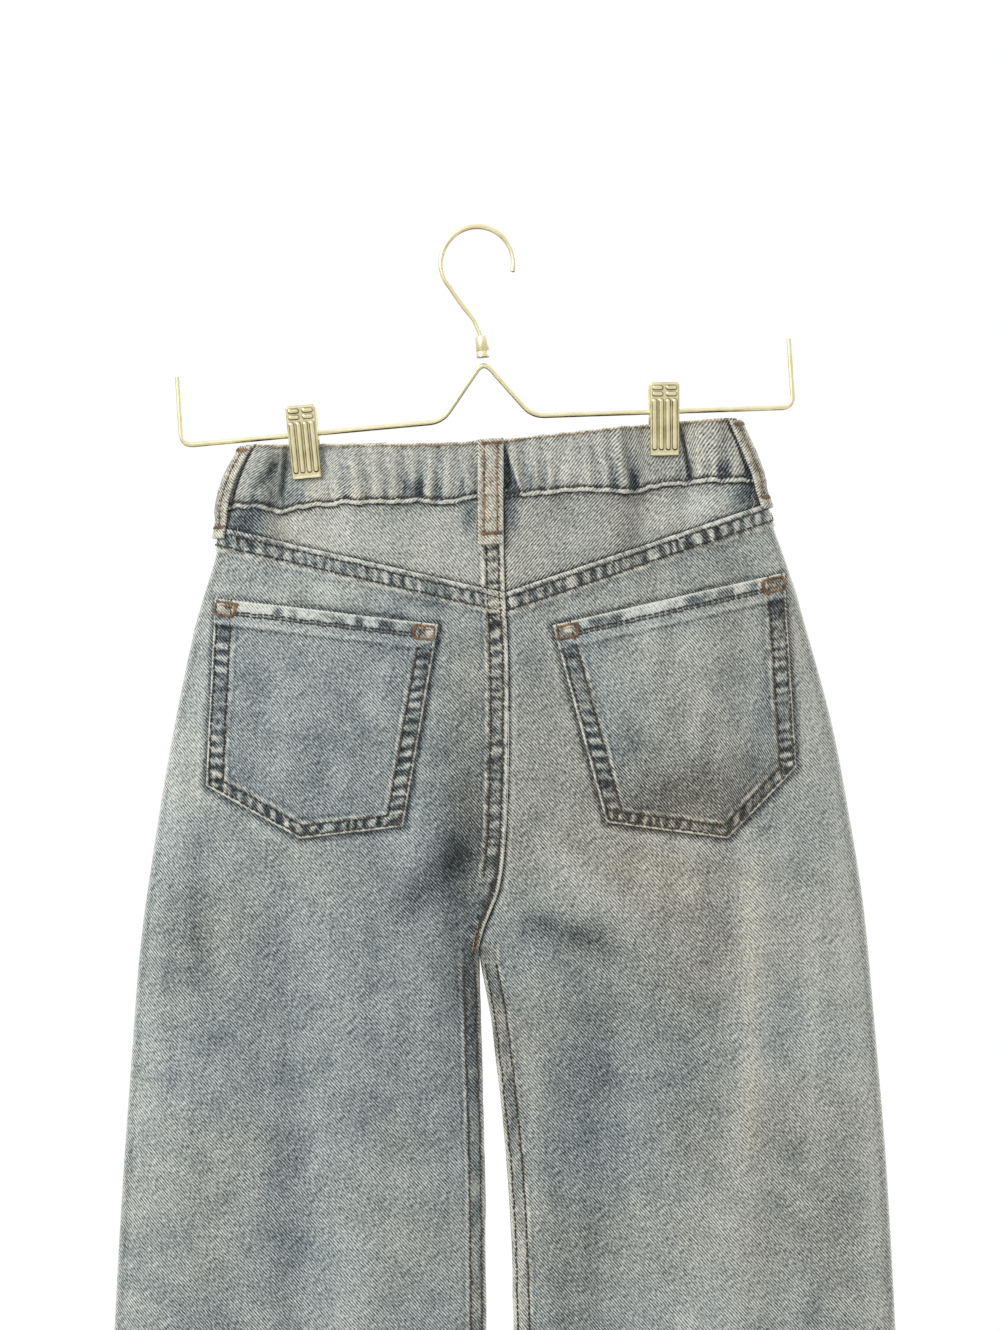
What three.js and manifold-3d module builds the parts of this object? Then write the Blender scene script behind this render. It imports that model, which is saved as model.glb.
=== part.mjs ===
// Wide leg jeans with an elasticated back waist, hanging from a wire clip hanger.
// Millimetres, +Z up. The front of the jeans faces -Y and their back faces +Y.
// The origin is the underside of the hook's top, where a rail bears.
// +X is the wearer's left. The hanger leans, so that side of the waist hangs lower.
import * as THREE from "three";
import { mergeVertices } from "three/addons/utils/BufferGeometryUtils.js";
import Module from "manifold-3d";

const wasm = await Module();
wasm.setup();

// ---- Driving dimensions ----
const garmentLength = 940; // waistband top to hem
const crotchDepth = 279; // waistband top to the crotch
const crotchCurve = 74; // the height over which the back and front run in to the crotch
const forkSpread = { from: -170, to: -350 }; // and over which the cloth beside that seam follows
const waistTop = -116.6; // height of the waistband's top at the centre back
const waistShift = -14.6; // the centre seam, from the hook
const waistSlope = Math.tan(THREE.MathUtils.degToRad(3.1)); // how the waist leans
const clothThickness = 1.5;
const seamGap = 0.3;
const lapRise = 1.1; // a felled seam's upper fold stands this proud
const lapWidth = 11;
const lapStep = 1.2; // the slope at the end of a lap or hem
const waistbandOut = 1.4; // the waistband's doubled cloth, outside and inside the panels' face
const waistbandIn = 1.6;
const gather = { height: 0.9, pitch: 9.8, wander: 1.1, wanderLength: 27 };
const hem = { height: 13, rise: 1 };
const loop = { width: 14, thickness: 1.5, overWaistband: 2.7, overYoke: 1.8 };
const pocket = { lift: 0.6, thickness: 1.5, hemHeight: 13, hemRise: 0.7 };
const yokeDrop = 83.5; // waistband top to the yoke seam at the centre back
const yokeSlope = 0.287; // rise of that seam towards the sides
const scoop = { middle: 7.4, start: 83.5, width: 64, depth: 58 }; // the front pockets' mouths
const fly = { lift: 1, left: 30, right: -6, straight: -112, curve: 40, end: 0.93 };

// ---- The body's sections, one row for each height below the waistband's top ----
// outer: centre to side. sway: how far the middle lies to the wearer's left.
// back, front: half depths. round: how blunt the side fold is.
const sections = [
  { z: 8, outer: 132, sway: 7, back: 10, front: 10, round: 8 },
  { z: -11, outer: 140.8, sway: 8.2, back: 10, front: 10.5, round: 8 },
  { z: -28, outer: 146.5, sway: 7.5, back: 11, front: 11.5, round: 7.5 },
  { z: -55, outer: 153.2, sway: 5.2, back: 12.5, front: 13.5, round: 7 },
  { z: -82, outer: 162, sway: 4.6, back: 14.5, front: 15.5, round: 6.2 },
  { z: -110, outer: 169.6, sway: 4, back: 16.5, front: 17.5, round: 5.5 },
  { z: -165, outer: 182.4, sway: 2.1, back: 19, front: 19.5, round: 4.8 },
  { z: -220, outer: 192, sway: 1.4, back: 20.5, front: 20.5, round: 4.5 },
  { z: -265, outer: 198.6, sway: 1, back: 20.5, front: 20.5, round: 4.5 },
  { z: -320, outer: 203.5, sway: 0.6, back: 19.5, front: 19.5, round: 4.5 },
  { z: -420, outer: 211, sway: 0, back: 18.5, front: 18.5, round: 4.5 },
  { z: -600, outer: 220, sway: 0, back: 18, front: 18, round: 4.5 },
  { z: -800, outer: 228, sway: 0, back: 18, front: 18, round: 4.5 },
  { z: -940, outer: 233, sway: 0, back: 18, front: 18, round: 4.5 },
];
// How far to the wearer's left the two halves end: one seam down to the crotch, then two inseams.
const innerEdges = [
  { z: 8, left: 0.4, right: 0.4 },
  { z: -45, left: 0, right: 0 },
  { z: -84, left: -0.9, right: -0.9 },
  { z: -119, left: -2.6, right: -2.6 },
  { z: -186, left: -2.3, right: -2.3 },
  { z: -230, left: 0, right: 0 },
  { z: -247, left: 3, right: 3 },
  { z: -257, left: 7, right: 7 },
  { z: -268, left: 11.3, right: 11.3 },
  { z: -279, left: 13.4, right: 13.4 },
  { z: -320, left: 12.5, right: 6.5 },
  { z: -420, left: 10, right: -3 },
  { z: -600, left: 10, right: -8 },
  { z: -800, left: 13, right: -12 },
  { z: -940, left: 15, right: -14 },
];
// The largest folds: the face, where each starts, how it leans, its length, half width and height.
const folds = [
  { face: 1, x: 24, z: -150, lean: -0.02, length: 250, width: 13, height: -3.2 },
  { face: 1, x: -143, z: -170, lean: 0.06, length: 420, width: 11, height: 3 },
  { face: 1, x: 128, z: -190, lean: -0.05, length: 330, width: 17, height: -2.6 },
  { face: 1, x: -60, z: -255, lean: 0.1, length: 380, width: 20, height: -3.4 },
  { face: 1, x: 84, z: -330, lean: -0.02, length: 600, width: 18, height: 4 },
  { face: 1, x: 170, z: -400, lean: -0.06, length: 530, width: 15, height: -4 },
  { face: 1, x: -108, z: -360, lean: 0.04, length: 570, width: 17, height: 4.2 },
  { face: 1, x: -178, z: -430, lean: 0.07, length: 500, width: 15, height: -3.8 },
  { face: 1, x: 48, z: -520, lean: 0.02, length: 410, width: 14, height: -3.6 },
  { face: -1, x: 60, z: -210, lean: -0.04, length: 460, width: 18, height: 3.4 },
  { face: -1, x: -66, z: -230, lean: 0.05, length: 500, width: 17, height: 3.6 },
  { face: -1, x: 140, z: -300, lean: -0.05, length: 560, width: 16, height: -3.8 },
  { face: -1, x: -138, z: -290, lean: 0.06, length: 600, width: 18, height: -4 },
  { face: -1, x: 100, z: -470, lean: -0.03, length: 460, width: 17, height: 4 },
  { face: -1, x: -182, z: -440, lean: 0.05, length: 480, width: 14, height: 3.4 },
];
// Corners of the two back pockets. point: the lowest, between the two bottom corners.
const backPockets = [
  {
    name: "back_pocket_left",
    innerTop: { x: 35.6, z: -99.1 },
    outerTop: { x: 157.6, z: -78.1 },
    innerBottom: { x: 54.7, z: -207.9 },
    point: { x: 110.7, z: -211.5 },
    outerBottom: { x: 162.4, z: -180.1 },
  },
  {
    name: "back_pocket_right",
    innerTop: { x: -26.6, z: -102.9 },
    outerTop: { x: -152.8, z: -81.1 },
    innerBottom: { x: -55.6, z: -211.7 },
    point: { x: -121.6, z: -224 },
    outerBottom: { x: -159.3, z: -187.4 },
  },
];

// ---- Hanger and clips ----
const wireRadius = 1.4;
const hookRadius = 20;
const hanger = {
  lean: THREE.MathUtils.degToRad(3.6),
  droop: Math.tan(THREE.MathUtils.degToRad(1.7)),
  arms: -104.5, // height of the arms where they leave the middle
  halfGap: 24.9, // and how far from the middle that is
  peak: 32, // rise of the middle above the arms
  halfLength: 168.5,
  upturn: 38,
  bend: 7,
  collar: { radius: 3.6, height: 12 },
};
const clips = [
  { name: "clip_left", x: 95.9, tilt: THREE.MathUtils.degToRad(5.3) },
  { name: "clip_right", x: -102.7, tilt: THREE.MathUtils.degToRad(0.5) },
];
const jaw = { width: 16.5, below: 25, above: 20.5, thickness: 0.9, grip: 4.8, tilt: 0.122, corner: 1.2 };
const rib = { count: 4, pitch: 3.7, width: 2.3, low: -22.1, high: 4.7, rise: 0.5 };
const bead = { rows: [9.6, 14.2], x: 3.9, width: 2.5, length: 5.6 };

// ---- Small mathematics ----
const clamp = (v, low, high) => Math.min(high, Math.max(low, v));
const smooth = (low, high, v) => {
  const t = clamp((v - low) / (high - low), 0, 1);
  return t * t * (3 - 2 * t);
};
const bump = (v, width) => Math.exp(-((v / width) ** 2));
const mix = (a, b, t) => a + (b - a) * t;

// A column of a table at height z, as a smooth curve through its rows.
function column(table, key, z) {
  const last = table.length - 1;
  const row = (k) => table[clamp(k, 0, last)];
  const slope = (k) => (row(k + 1)[key] - row(k - 1)[key]) / (row(k + 1).z - row(k - 1).z);
  let i = 0;
  while (i < last - 1 && z < table[i + 1].z) i += 1;
  const span = row(i + 1).z - row(i).z;
  const t = clamp((z - row(i).z) / span, 0, 1);
  const easing = t * t * (3 - 2 * t);
  const start = slope(i) * span * t * (1 - t) * (1 - t);
  const end = slope(i + 1) * span * t * t * (t - 1);
  return mix(row(i)[key], row(i + 1)[key], easing) + start + end;
}

// ---- The garment's surface ----
// face: 1 for the back, -1 for the front. side: 1 for the wearer's left, -1 for the right.
// share: from the centre seam or inseam, 0, to the side seam, 1.
const innerEdge = (side, z) => side * column(innerEdges, side > 0 ? "left" : "right", z) + seamGap / 2;
const outerEdge = (side, z) => column(sections, "outer", z) + side * column(sections, "sway", z);

// How far a place is from the middle of the nearest clip, across the garment.
function fromClip(x) {
  const middles = clips.map((clip) => clip.x - waistShift - (jaw.below / 2) * Math.sin(clip.tilt));
  return Math.min(...middles.map((middle) => Math.abs(x - middle)));
}

// How far the cloth is pinched flat below a clip.
const pinch = (x, z) => 0.8 * smooth(-95, -22, z) * (1 - smooth(10, 27, fromClip(x)));

// The front waist stands forward between the clips, because the elastic draws the back in.
const frontBulge = (x, z) => 13 * smooth(-150, -10, z) * bump(x, 62);

function foldHeight(face, x, z) {
  let sum = 0;
  for (const fold of folds) {
    const along = (fold.z - z) / fold.length;
    if (fold.face !== face || along <= 0) continue;
    const centre = fold.x + fold.lean * (fold.z - z);
    const kept = 1 - smooth(0.7, 1, along) * (fold.z - fold.length > -700 ? 1 : 0.4);
    sum += fold.height * smooth(0, 0.3, along) * kept * bump(x - centre, fold.width);
  }
  return sum;
}

// A point of the panels' outer face.
function facePoint(face, side, share, z) {
  const t = (1 - Math.cos(Math.PI * share)) / 2;
  const x = side * mix(innerEdge(side, z), outerEdge(side, z), t);
  const depth = column(sections, face > 0 ? "back" : "front", z);
  const atSeam = clamp(1 - (z + crotchDepth) / crotchCurve, 0, 1);
  const closing = mix(atSeam, 1 - smooth(forkSpread.to, forkSpread.from, z), smooth(0, 0.16, t));
  const sideFold = Math.sqrt(Math.max(0, 1 - t ** column(sections, "round", z)));
  const innerFold = Math.sqrt(Math.max(0, 1 - closing * (1 - t) ** 4.5));
  const bulge = face > 0 ? 0 : frontBulge(x, z) * sideFold;
  const y = (depth * sideFold * innerFold + bulge) * (1 - pinch(x, z));
  const calm = smooth(0, 0.12, 1 - t) * (1 - closing * (1 - smooth(0, 0.16, t)));
  return new THREE.Vector3(x, face * (y + foldHeight(face, x, z) * calm + seamGap / 2), z);
}

// The same point moved out from the face. share may be negative, for the wearer's right,
// or pass 1, which goes round the side seam to the other face.
function lifted(face, share, z, lift) {
  const side = share < 0 ? -1 : 1;
  let size = Math.abs(share);
  let onFace = face;
  if (size > 1) {
    size = 2 - size;
    onFace = -face;
  }
  const step = size > 0.5 ? -0.004 : 0.004;
  const point = facePoint(onFace, side, size, z);
  const next = facePoint(onFace, side, size + step, z);
  const along = next.sub(point).multiplyScalar(Math.sign(step) * side);
  const up = facePoint(onFace, side, size, z + 0.5).sub(facePoint(onFace, side, size, z - 0.5));
  const normal = up.cross(along).normalize().multiplyScalar(onFace);
  return point.addScaledVector(normal, lift);
}

// The share at which a face has a given x.
function shareAt(x, z) {
  const side = x > column(innerEdges, "left", z) ? 1 : -1;
  const inner = innerEdge(side, z);
  const t = clamp((side * x - inner) / (outerEdge(side, z) - inner), 0, 1);
  return (side * Math.acos(1 - 2 * t)) / Math.PI;
}

// The share at a distance round the body from the side seam.
function shareFromSeam(face, side, z, distance) {
  let share = 1;
  let length = 0;
  let last = facePoint(face, side, share, z);
  while (length < distance) {
    share -= 0.004;
    const next = facePoint(face, side, share, z);
    length += next.distanceTo(last);
    last = next;
  }
  return share;
}

// The height at a share where an edge drawn as a function of x crosses it.
function heightOnEdge(face, share, edge) {
  let z = edge(0);
  for (let k = 0; k < 12; k += 1) {
    z = edge(facePoint(face, Math.sign(share) || 1, Math.abs(share), z).x);
  }
  return z;
}

// The garment hangs plumb from a leaning waist.
function hung(point) {
  point.z += waistTop - waistSlope * point.x;
  point.x += waistShift;
  return point;
}

// ---- Edges, as heights below the waistband's top ----
const waistbandTop = (x) => 6 * (1 - bump(x - 22, 85));
const waistbandBottom = (x) => -30.5 + 3 * (1 - bump(x, 100));
const yokeSeam = (x) => -yokeDrop + yokeSlope * Math.abs(x);
const scoopShare = (x) => clamp((Math.abs(x - scoop.middle) - scoop.start) / scoop.width, 0, 1);
const scoopEdge = (x) => waistbandBottom(x) - scoop.depth * Math.sin((Math.PI / 2) * scoopShare(x));

// ---- Solids ----
// A closed wall between two grids of points, outer and inner, each [row][column].
function wallGeometry(outer, inner) {
  const rows = outer.length;
  const columns = outer[0].length;
  const count = rows * columns;
  const index = [];
  const quad = (a, b, c, d) => index.push(a, b, c, a, c, d);
  const at = (i, j) => i * columns + j;
  for (let i = 0; i < rows - 1; i += 1) {
    for (let j = 0; j < columns - 1; j += 1) {
      const corners = [at(i, j), at(i + 1, j), at(i + 1, j + 1), at(i, j + 1)];
      quad(...corners);
      quad(...corners.map((k) => k + count).reverse());
    }
  }
  const rim = [];
  for (let j = columns - 1; j > 0; j -= 1) rim.push(at(0, j));
  for (let i = 0; i < rows - 1; i += 1) rim.push(at(i, 0));
  for (let j = 0; j < columns - 1; j += 1) rim.push(at(rows - 1, j));
  for (let i = rows - 1; i > 0; i -= 1) rim.push(at(i, columns - 1));
  rim.forEach((a, k) => {
    const b = rim[(k + 1) % rim.length];
    quad(a, a + count, b + count, b);
  });
  const geometry = new THREE.BufferGeometry();
  const points = [...outer.flat(), ...inner.flat()].flatMap((p) => p.toArray());
  geometry.setAttribute("position", new THREE.Float32BufferAttribute(points, 3));
  geometry.setIndex(index);
  return facingOut(geometry);
}

// Turns the faces round if the solid came out inside out.
function facingOut(geometry) {
  const p = geometry.attributes.position;
  const index = Array.from(geometry.index.array);
  let volume = 0;
  for (let i = 0; i < index.length; i += 3) {
    const [a, b, c] = index.slice(i, i + 3).map((k) => new THREE.Vector3().fromBufferAttribute(p, k));
    volume += a.dot(b.cross(c));
  }
  if (volume < 0) geometry.setIndex(index.reverse());
  return geometry;
}

// A wall on the garment. places: [row][column] of { share, z, out, in }, out and in being lifts.
function wall(face, places) {
  const grid = (key) => places.map((row) => row.map((p) => hung(lifted(face, p.share, p.z, p[key]))));
  return wallGeometry(grid("out"), grid("in"));
}

function toSolid(geometry) {
  const bare = geometry.index ? geometry.toNonIndexed() : geometry.clone();
  bare.deleteAttribute("normal");
  bare.deleteAttribute("uv");
  const merged = mergeVertices(bare, 1e-4);
  const vertProperties = merged.attributes.position.array;
  const triVerts = new Uint32Array(merged.index.array);
  return new wasm.Manifold(new wasm.Mesh({ numProp: 3, vertProperties, triVerts }));
}

function joined(geometries) {
  const solid = geometries.map(toSolid).reduce((a, b) => a.add(b));
  const mesh = solid.getMesh();
  const geometry = new THREE.BufferGeometry();
  geometry.setAttribute("position", new THREE.BufferAttribute(mesh.vertProperties, 3));
  geometry.setIndex(new THREE.BufferAttribute(mesh.triVerts, 1));
  return geometry;
}

// ---- Materials ----
const cloth = (color) => new THREE.MeshStandardMaterial({ color, roughness: 0.9, metalness: 0 });
const metal = (color) => new THREE.MeshStandardMaterial({ color, roughness: 0.3, metalness: 1 });
const denim = cloth(0x9aa7ad);
const fadedDenim = cloth(0xb5b3a6);
const paleGold = metal(0xcdbf95);
const darkSteel = metal(0x6a655b);

const jeans = new THREE.Group();
function add(name, geometry, material) {
  const mesh = new THREE.Mesh(geometry, material);
  mesh.name = name;
  jeans.add(mesh);
  return mesh;
}

// ---- Leg panels and yokes ----
// Columns: the seam, the lap's two edges, then even steps that close up at the side.
const columnSteps = [0.1, 0.2, 0.3, 0.4, 0.5, 0.6, 0.7, 0.79, 0.87, 0.94, 1];
const columnCount = columnSteps.length + 3;

function columnShare(side, z, j) {
  const width = outerEdge(side, z) - innerEdge(side, z);
  const shareOf = (distance) => Math.acos(1 - (2 * distance) / width) / Math.PI;
  const lapEnd = shareOf(lapWidth + lapStep);
  if (j === 0) return 0;
  if (j === 1) return shareOf(lapWidth);
  if (j === 2) return lapEnd;
  return mix(lapEnd, 1, columnSteps[j - 3]);
}

// Heights down one column of a leg panel.
function panelHeights(top) {
  const lapEnd = top - lapWidth - lapStep;
  const seatEnd = -227;
  const seat = [0.22, 0.44, 0.64, 0.83, 1].map((f) => mix(lapEnd, seatEnd, f));
  const fork = [0.64, 0.4, 0.2, 0].map((f) => mix(-crotchDepth, seatEnd, f * f));
  const leg = [294, 318, 350, 392, 440, 500, 570, 650, 740, 830, 900].map((d) => -d);
  const hemTop = -garmentLength + hem.height;
  return [top, top - lapWidth, lapEnd, ...seat, ...fork, ...leg, hemTop + lapStep, hemTop, -garmentLength];
}

// topLap: how far the lap along the top edge is raised, as a function of x.
function legPanel(face, side, topEdge, topLap, innerLap) {
  const places = panelHeights(0).map(() => []);
  for (let j = 0; j < columnCount; j += 1) {
    const share = columnShare(side, -crotchDepth / 2, j);
    const top = heightOnEdge(face, side * share || side * 1e-9, topEdge) - seamGap / 2;
    const x = facePoint(face, side, share, top).x;
    panelHeights(top).forEach((z, i) => {
      const alongTop = i <= 1 ? topLap(x) : 0;
      const alongSeam = j <= 1 ? innerLap * smooth(-245, -205, z) : 0;
      const atHem = z < -garmentLength + hem.height + lapStep / 2 ? hem.rise : 0;
      const out = Math.max(alongTop, alongSeam, atHem);
      places[i].push({ share: side * share || side * 1e-9, z, out, in: -clothThickness });
    });
  }
  return wall(face, places);
}

// A piece between two edges, from the centre to the side.
function betweenEdges(face, side, topEdge, bottomEdge, rows, innerLap) {
  const places = Array.from({ length: rows }, () => []);
  for (let j = 0; j < columnCount; j += 1) {
    const share = side * columnShare(side, -crotchDepth / 2, j) || side * 1e-9;
    const top = heightOnEdge(face, share, topEdge) - seamGap / 2;
    const bottom = heightOnEdge(face, share, bottomEdge) + seamGap / 2;
    places.forEach((row, i) => {
      const z = mix(top, bottom, i / (rows - 1));
      row.push({ share, z, out: j <= 1 ? innerLap : 0, in: -clothThickness });
    });
  }
  return wall(face, places);
}

for (const [name, side] of [["left", 1], ["right", -1]]) {
  const lap = side > 0 ? lapRise : 0; // the wearer's left half laps over the right at the centre back
  add(`back_${name}`, legPanel(1, side, yokeSeam, () => lapRise, lap), denim);
  const scoopLap = (x) => lapRise * smooth(0, 0.15, scoopShare(x));
  add(`front_${name}`, legPanel(-1, side, scoopEdge, scoopLap, 0), denim);
  add(`yoke_${name}`, betweenEdges(1, side, waistbandBottom, yokeSeam, 4, lap), denim);
}

// ---- Front pocket facings, in the corner between waistband and mouth ----
function facing(side) {
  const rows = 5;
  const lastBefore = 6; // the panel's last column before the mouth begins
  const shareOf = (j) => side * columnShare(side, -crotchDepth / 2, j);
  const mouth = (j) => heightOnEdge(-1, shareOf(j), scoopEdge);
  const corner = 0.25; // the facing's own corner lies this far along to the next column
  const places = Array.from({ length: rows }, () => []);
  for (let j = lastBefore; j < columnCount; j += 1) {
    const f = j === lastBefore ? corner : 0;
    const share = f ? mix(shareOf(j), shareOf(j + 1), f) : shareOf(j);
    const top = heightOnEdge(-1, share, waistbandBottom) - seamGap / 2;
    const bottom = (f ? mix(mouth(j), mouth(j + 1), f) : mouth(j)) + 2 * seamGap;
    places.forEach((row, i) => {
      row.push({ share, z: mix(top, bottom, i / (rows - 1)), out: 0, in: -clothThickness });
    });
  }
  return wall(-1, places);
}

add("pocket_facing_left", facing(1), denim);
add("pocket_facing_right", facing(-1), denim);

// ---- Waistband ----
const bandRows = [
  { at: 0, swell: 0.5, wave: 0.7 },
  { at: 0.16, swell: 1, wave: 0.8 },
  { at: 0.5, swell: 1, wave: 1 },
  { at: 0.86, swell: 1, wave: 0.9 },
  { at: 1, swell: 0.5, wave: 0.7 },
];

// The gathers that the elastic draws up, flat under the clips and at the side seams.
function gatherWave(x) {
  const phase = (2 * Math.PI * x) / gather.pitch + gather.wander * Math.sin(x / gather.wanderLength);
  return gather.height * Math.sin(phase) * smooth(11, 17, fromClip(x)) * (1 - smooth(122, 134, Math.abs(x)));
}

function band(face, shares, wave) {
  const places = bandRows.map((row) =>
    shares.map((share) => {
      const bottom = heightOnEdge(face, share, waistbandBottom) + seamGap / 2;
      const top = heightOnEdge(face, share, waistbandTop);
      const z = mix(bottom, top, row.at);
      const x = facePoint(face, Math.sign(share), Math.abs(share), z).x;
      const out = waistbandOut * row.swell + wave(x) * row.wave;
      return { share, z, out, in: -waistbandIn };
    }),
  );
  return wall(face, places);
}

const evenShares = (start, end, count) =>
  Array.from({ length: count + 1 }, (_, k) => mix(start, end, k / count) || 1e-9);

const frontMeet = -12; // where the two ends of the front waistband meet, under the button's edge
add("waistband_back", band(1, evenShares(-1, 1, 144), gatherWave), denim);
const leftEnd = shareAt(frontMeet + seamGap / 2, -15);
const rightEnd = shareAt(frontMeet - seamGap / 2, -15);
add("waistband_front_left", band(-1, evenShares(leftEnd, 1, 22), () => 0), denim);
add("waistband_front_right", band(-1, evenShares(-1, rightEnd, 20), () => 0), denim);

// ---- Belt loops: a strip down from the waistband's top, standing off it ----
const loopRows = [
  { drop: -1, off: 0 },
  { drop: 4, off: 0 },
  { drop: 16, off: 0.8 },
  { drop: 29, off: 0.8 },
  { drop: 36, off: 0 },
];

// place(t, z) gives the share at t across the strip, from -1 to 1.
function beltLoop(face, length, top, place) {
  const rows = [...loopRows, { drop: length - 5, off: 0 }, { drop: length, off: 0 }];
  const places = rows.map(({ drop, off }) => {
    const z = top - drop;
    const over = mix(loop.overYoke, loop.overWaistband, smooth(-36, -31, z));
    return [-1, -0.5, 0, 0.5, 1].map((t) => {
      return { share: place(t, z), z, out: over + off + loop.thickness, in: over + off };
    });
  });
  return wall(face, places);
}

function sideLoop(side) {
  const place = (t, z) => {
    const share = shareFromSeam(t < 0 ? 1 : -1, side, z, (Math.abs(t) * loop.width) / 2);
    return side * (t < 0 ? share : 2 - share);
  };
  return beltLoop(1, 48, 2.5, place);
}

const straightLoop = (face, x, length, top) =>
  beltLoop(face, length, top, (t, z) => shareAt(x + (t * loop.width) / 2, z));
add("belt_loop_back", straightLoop(1, 7.2, 57, 0), fadedDenim);
add("belt_loop_side_left", sideLoop(1), fadedDenim);
add("belt_loop_side_right", sideLoop(-1), fadedDenim);
add("belt_loop_front_left", straightLoop(-1, 72, 54, 3), fadedDenim);
add("belt_loop_front_right", straightLoop(-1, -58, 54, 3), fadedDenim);

// ---- Back pockets ----
// u runs from the inner side to the outer, v from the top edge down.
function backPocket(corners) {
  const { innerTop, outerTop, innerBottom, point, outerBottom } = corners;
  const span = (key, from, to, t) => mix(from[key], to[key], t);
  const bend = (point.x - innerBottom.x) / (outerBottom.x - innerBottom.x);
  const below = (key, u) =>
    u < bend
      ? span(key, innerBottom, point, u / bend)
      : span(key, point, outerBottom, (u - bend) / (1 - bend));
  const height = innerTop.z - innerBottom.z;
  const hemShare = pocket.hemHeight / height;
  const across = [0, bend / 4, bend / 2, (3 * bend) / 4, bend, mix(bend, 1, 0.5), mix(bend, 1, 0.8), 1];
  const down = [0, hemShare, hemShare + lapStep / height, 0.3, 0.48, 0.66, 0.83, 1];
  const places = down.map((v, i) =>
    across.map((u) => {
      const z = mix(span("z", innerTop, outerTop, u), below("z", u), v);
      const x = mix(span("x", innerTop, outerTop, u), below("x", u), v);
      const rise = i <= 1 ? pocket.hemRise : 0;
      return { share: shareAt(x, z), z, out: pocket.lift + pocket.thickness + rise, in: pocket.lift };
    }),
  );
  return wall(1, places);
}

for (const corners of backPockets) add(corners.name, backPocket(corners), denim);

// ---- Fly: a flap over the closed zip, rounded at the bottom ----
function flyFlap() {
  const width = fly.left - fly.right;
  const drops = [0, 0.3, 0.62, 1];
  const curve = [0.35, 0.6, 0.8, fly.end];
  const top = waistbandBottom(0) - 1.5 * seamGap;
  const rows = [
    ...drops.map((f) => ({ z: mix(top, fly.straight, f), width })),
    ...curve.map((f) => ({ z: fly.straight - fly.curve * f, width: width * Math.sqrt(1 - f * f) })),
  ];
  const places = rows.map((row) =>
    [0, 0.25, 0.5, 0.75, 1].map((u) => {
      const share = shareAt(fly.right + row.width * u, row.z);
      return { share, z: row.z, out: fly.lift + clothThickness, in: fly.lift };
    }),
  );
  return wall(-1, places);
}

add("fly", flyFlap(), denim);

// ---- Waist button: a domed cap on the front waistband ----
function waistButton() {
  const radius = 8.5;
  const profile = [[0, 0], [6.5, 0], [radius, 1.2], [radius, 2], [7, 3], [4.5, 3.3], [0, 3.3]];
  const cap = new THREE.LatheGeometry(profile.map(([r, h]) => new THREE.Vector2(r, h)), 24);
  cap.rotateX(Math.PI); // its crown faces -Y, the front
  const seat = hung(lifted(-1, 1e-9, -15, waistbandOut + 2 * seamGap));
  return cap.translate(seat.x, seat.y, seat.z);
}

add("button", waistButton(), darkSteel);

// ---- Hanger wire ----
// A path through the given points, each its own step, so that bends get many and straights few.
class WirePath extends THREE.Curve {
  constructor(points) {
    super();
    this.points = points;
  }
  getPointAt(u) {
    return this.points[Math.round(u * (this.points.length - 1))].clone();
  }
  getTangentAt(u) {
    const i = Math.round(u * (this.points.length - 1));
    const before = this.points[Math.max(0, i - 1)];
    const after = this.points[Math.min(this.points.length - 1, i + 1)];
    return after.clone().sub(before).normalize();
  }
}

// The corners [x, z] of a wire in the hanger's plane, each rounded by a curve of four steps.
function rounded(corners, radius) {
  const points = corners.map(([x, z]) => new THREE.Vector3(x, 0, z));
  const path = [points[0]];
  for (let i = 1; i < points.length - 1; i += 1) {
    const to = (p) => p.clone().sub(points[i]).normalize().multiplyScalar(radius).add(points[i]);
    const bend = new THREE.QuadraticBezierCurve3(to(points[i - 1]), points[i], to(points[i + 1]));
    path.push(...bend.getPoints(4));
  }
  return [...path, points[points.length - 1]];
}

function wire(points) {
  const section = new THREE.Shape(
    Array.from({ length: 8 }, (_, k) => {
      const turn = (k * Math.PI) / 4;
      return new THREE.Vector2(wireRadius * Math.cos(turn), wireRadius * Math.sin(turn));
    }),
  );
  const extrudePath = new WirePath(points);
  return new THREE.ExtrudeGeometry(section, { steps: points.length - 1, extrudePath });
}

// The hanger swings about the middle of its hook, so the hook's inner top stays at the origin.
const hookMiddle = -hookRadius + wireRadius;
const swing = new THREE.Matrix4()
  .makeTranslation(0, 0, hookMiddle)
  .multiply(new THREE.Matrix4().makeRotationY(hanger.lean))
  .multiply(new THREE.Matrix4().makeTranslation(0, 0, -hookMiddle));

const armHeight = (x) => hanger.arms - hanger.droop * (Math.abs(x) - hanger.halfGap);

function hangerBar() {
  const end = hanger.halfLength;
  const half = [
    [end, armHeight(end) + hanger.upturn],
    [end, armHeight(end)],
    [hanger.halfGap, hanger.arms],
  ];
  const mirrored = half.map(([x, z]) => [-x, z]).reverse();
  const corners = [...half, [0, hanger.arms + hanger.peak], ...mirrored];
  return wire(rounded(corners, hanger.bend)).applyMatrix4(swing);
}

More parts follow.
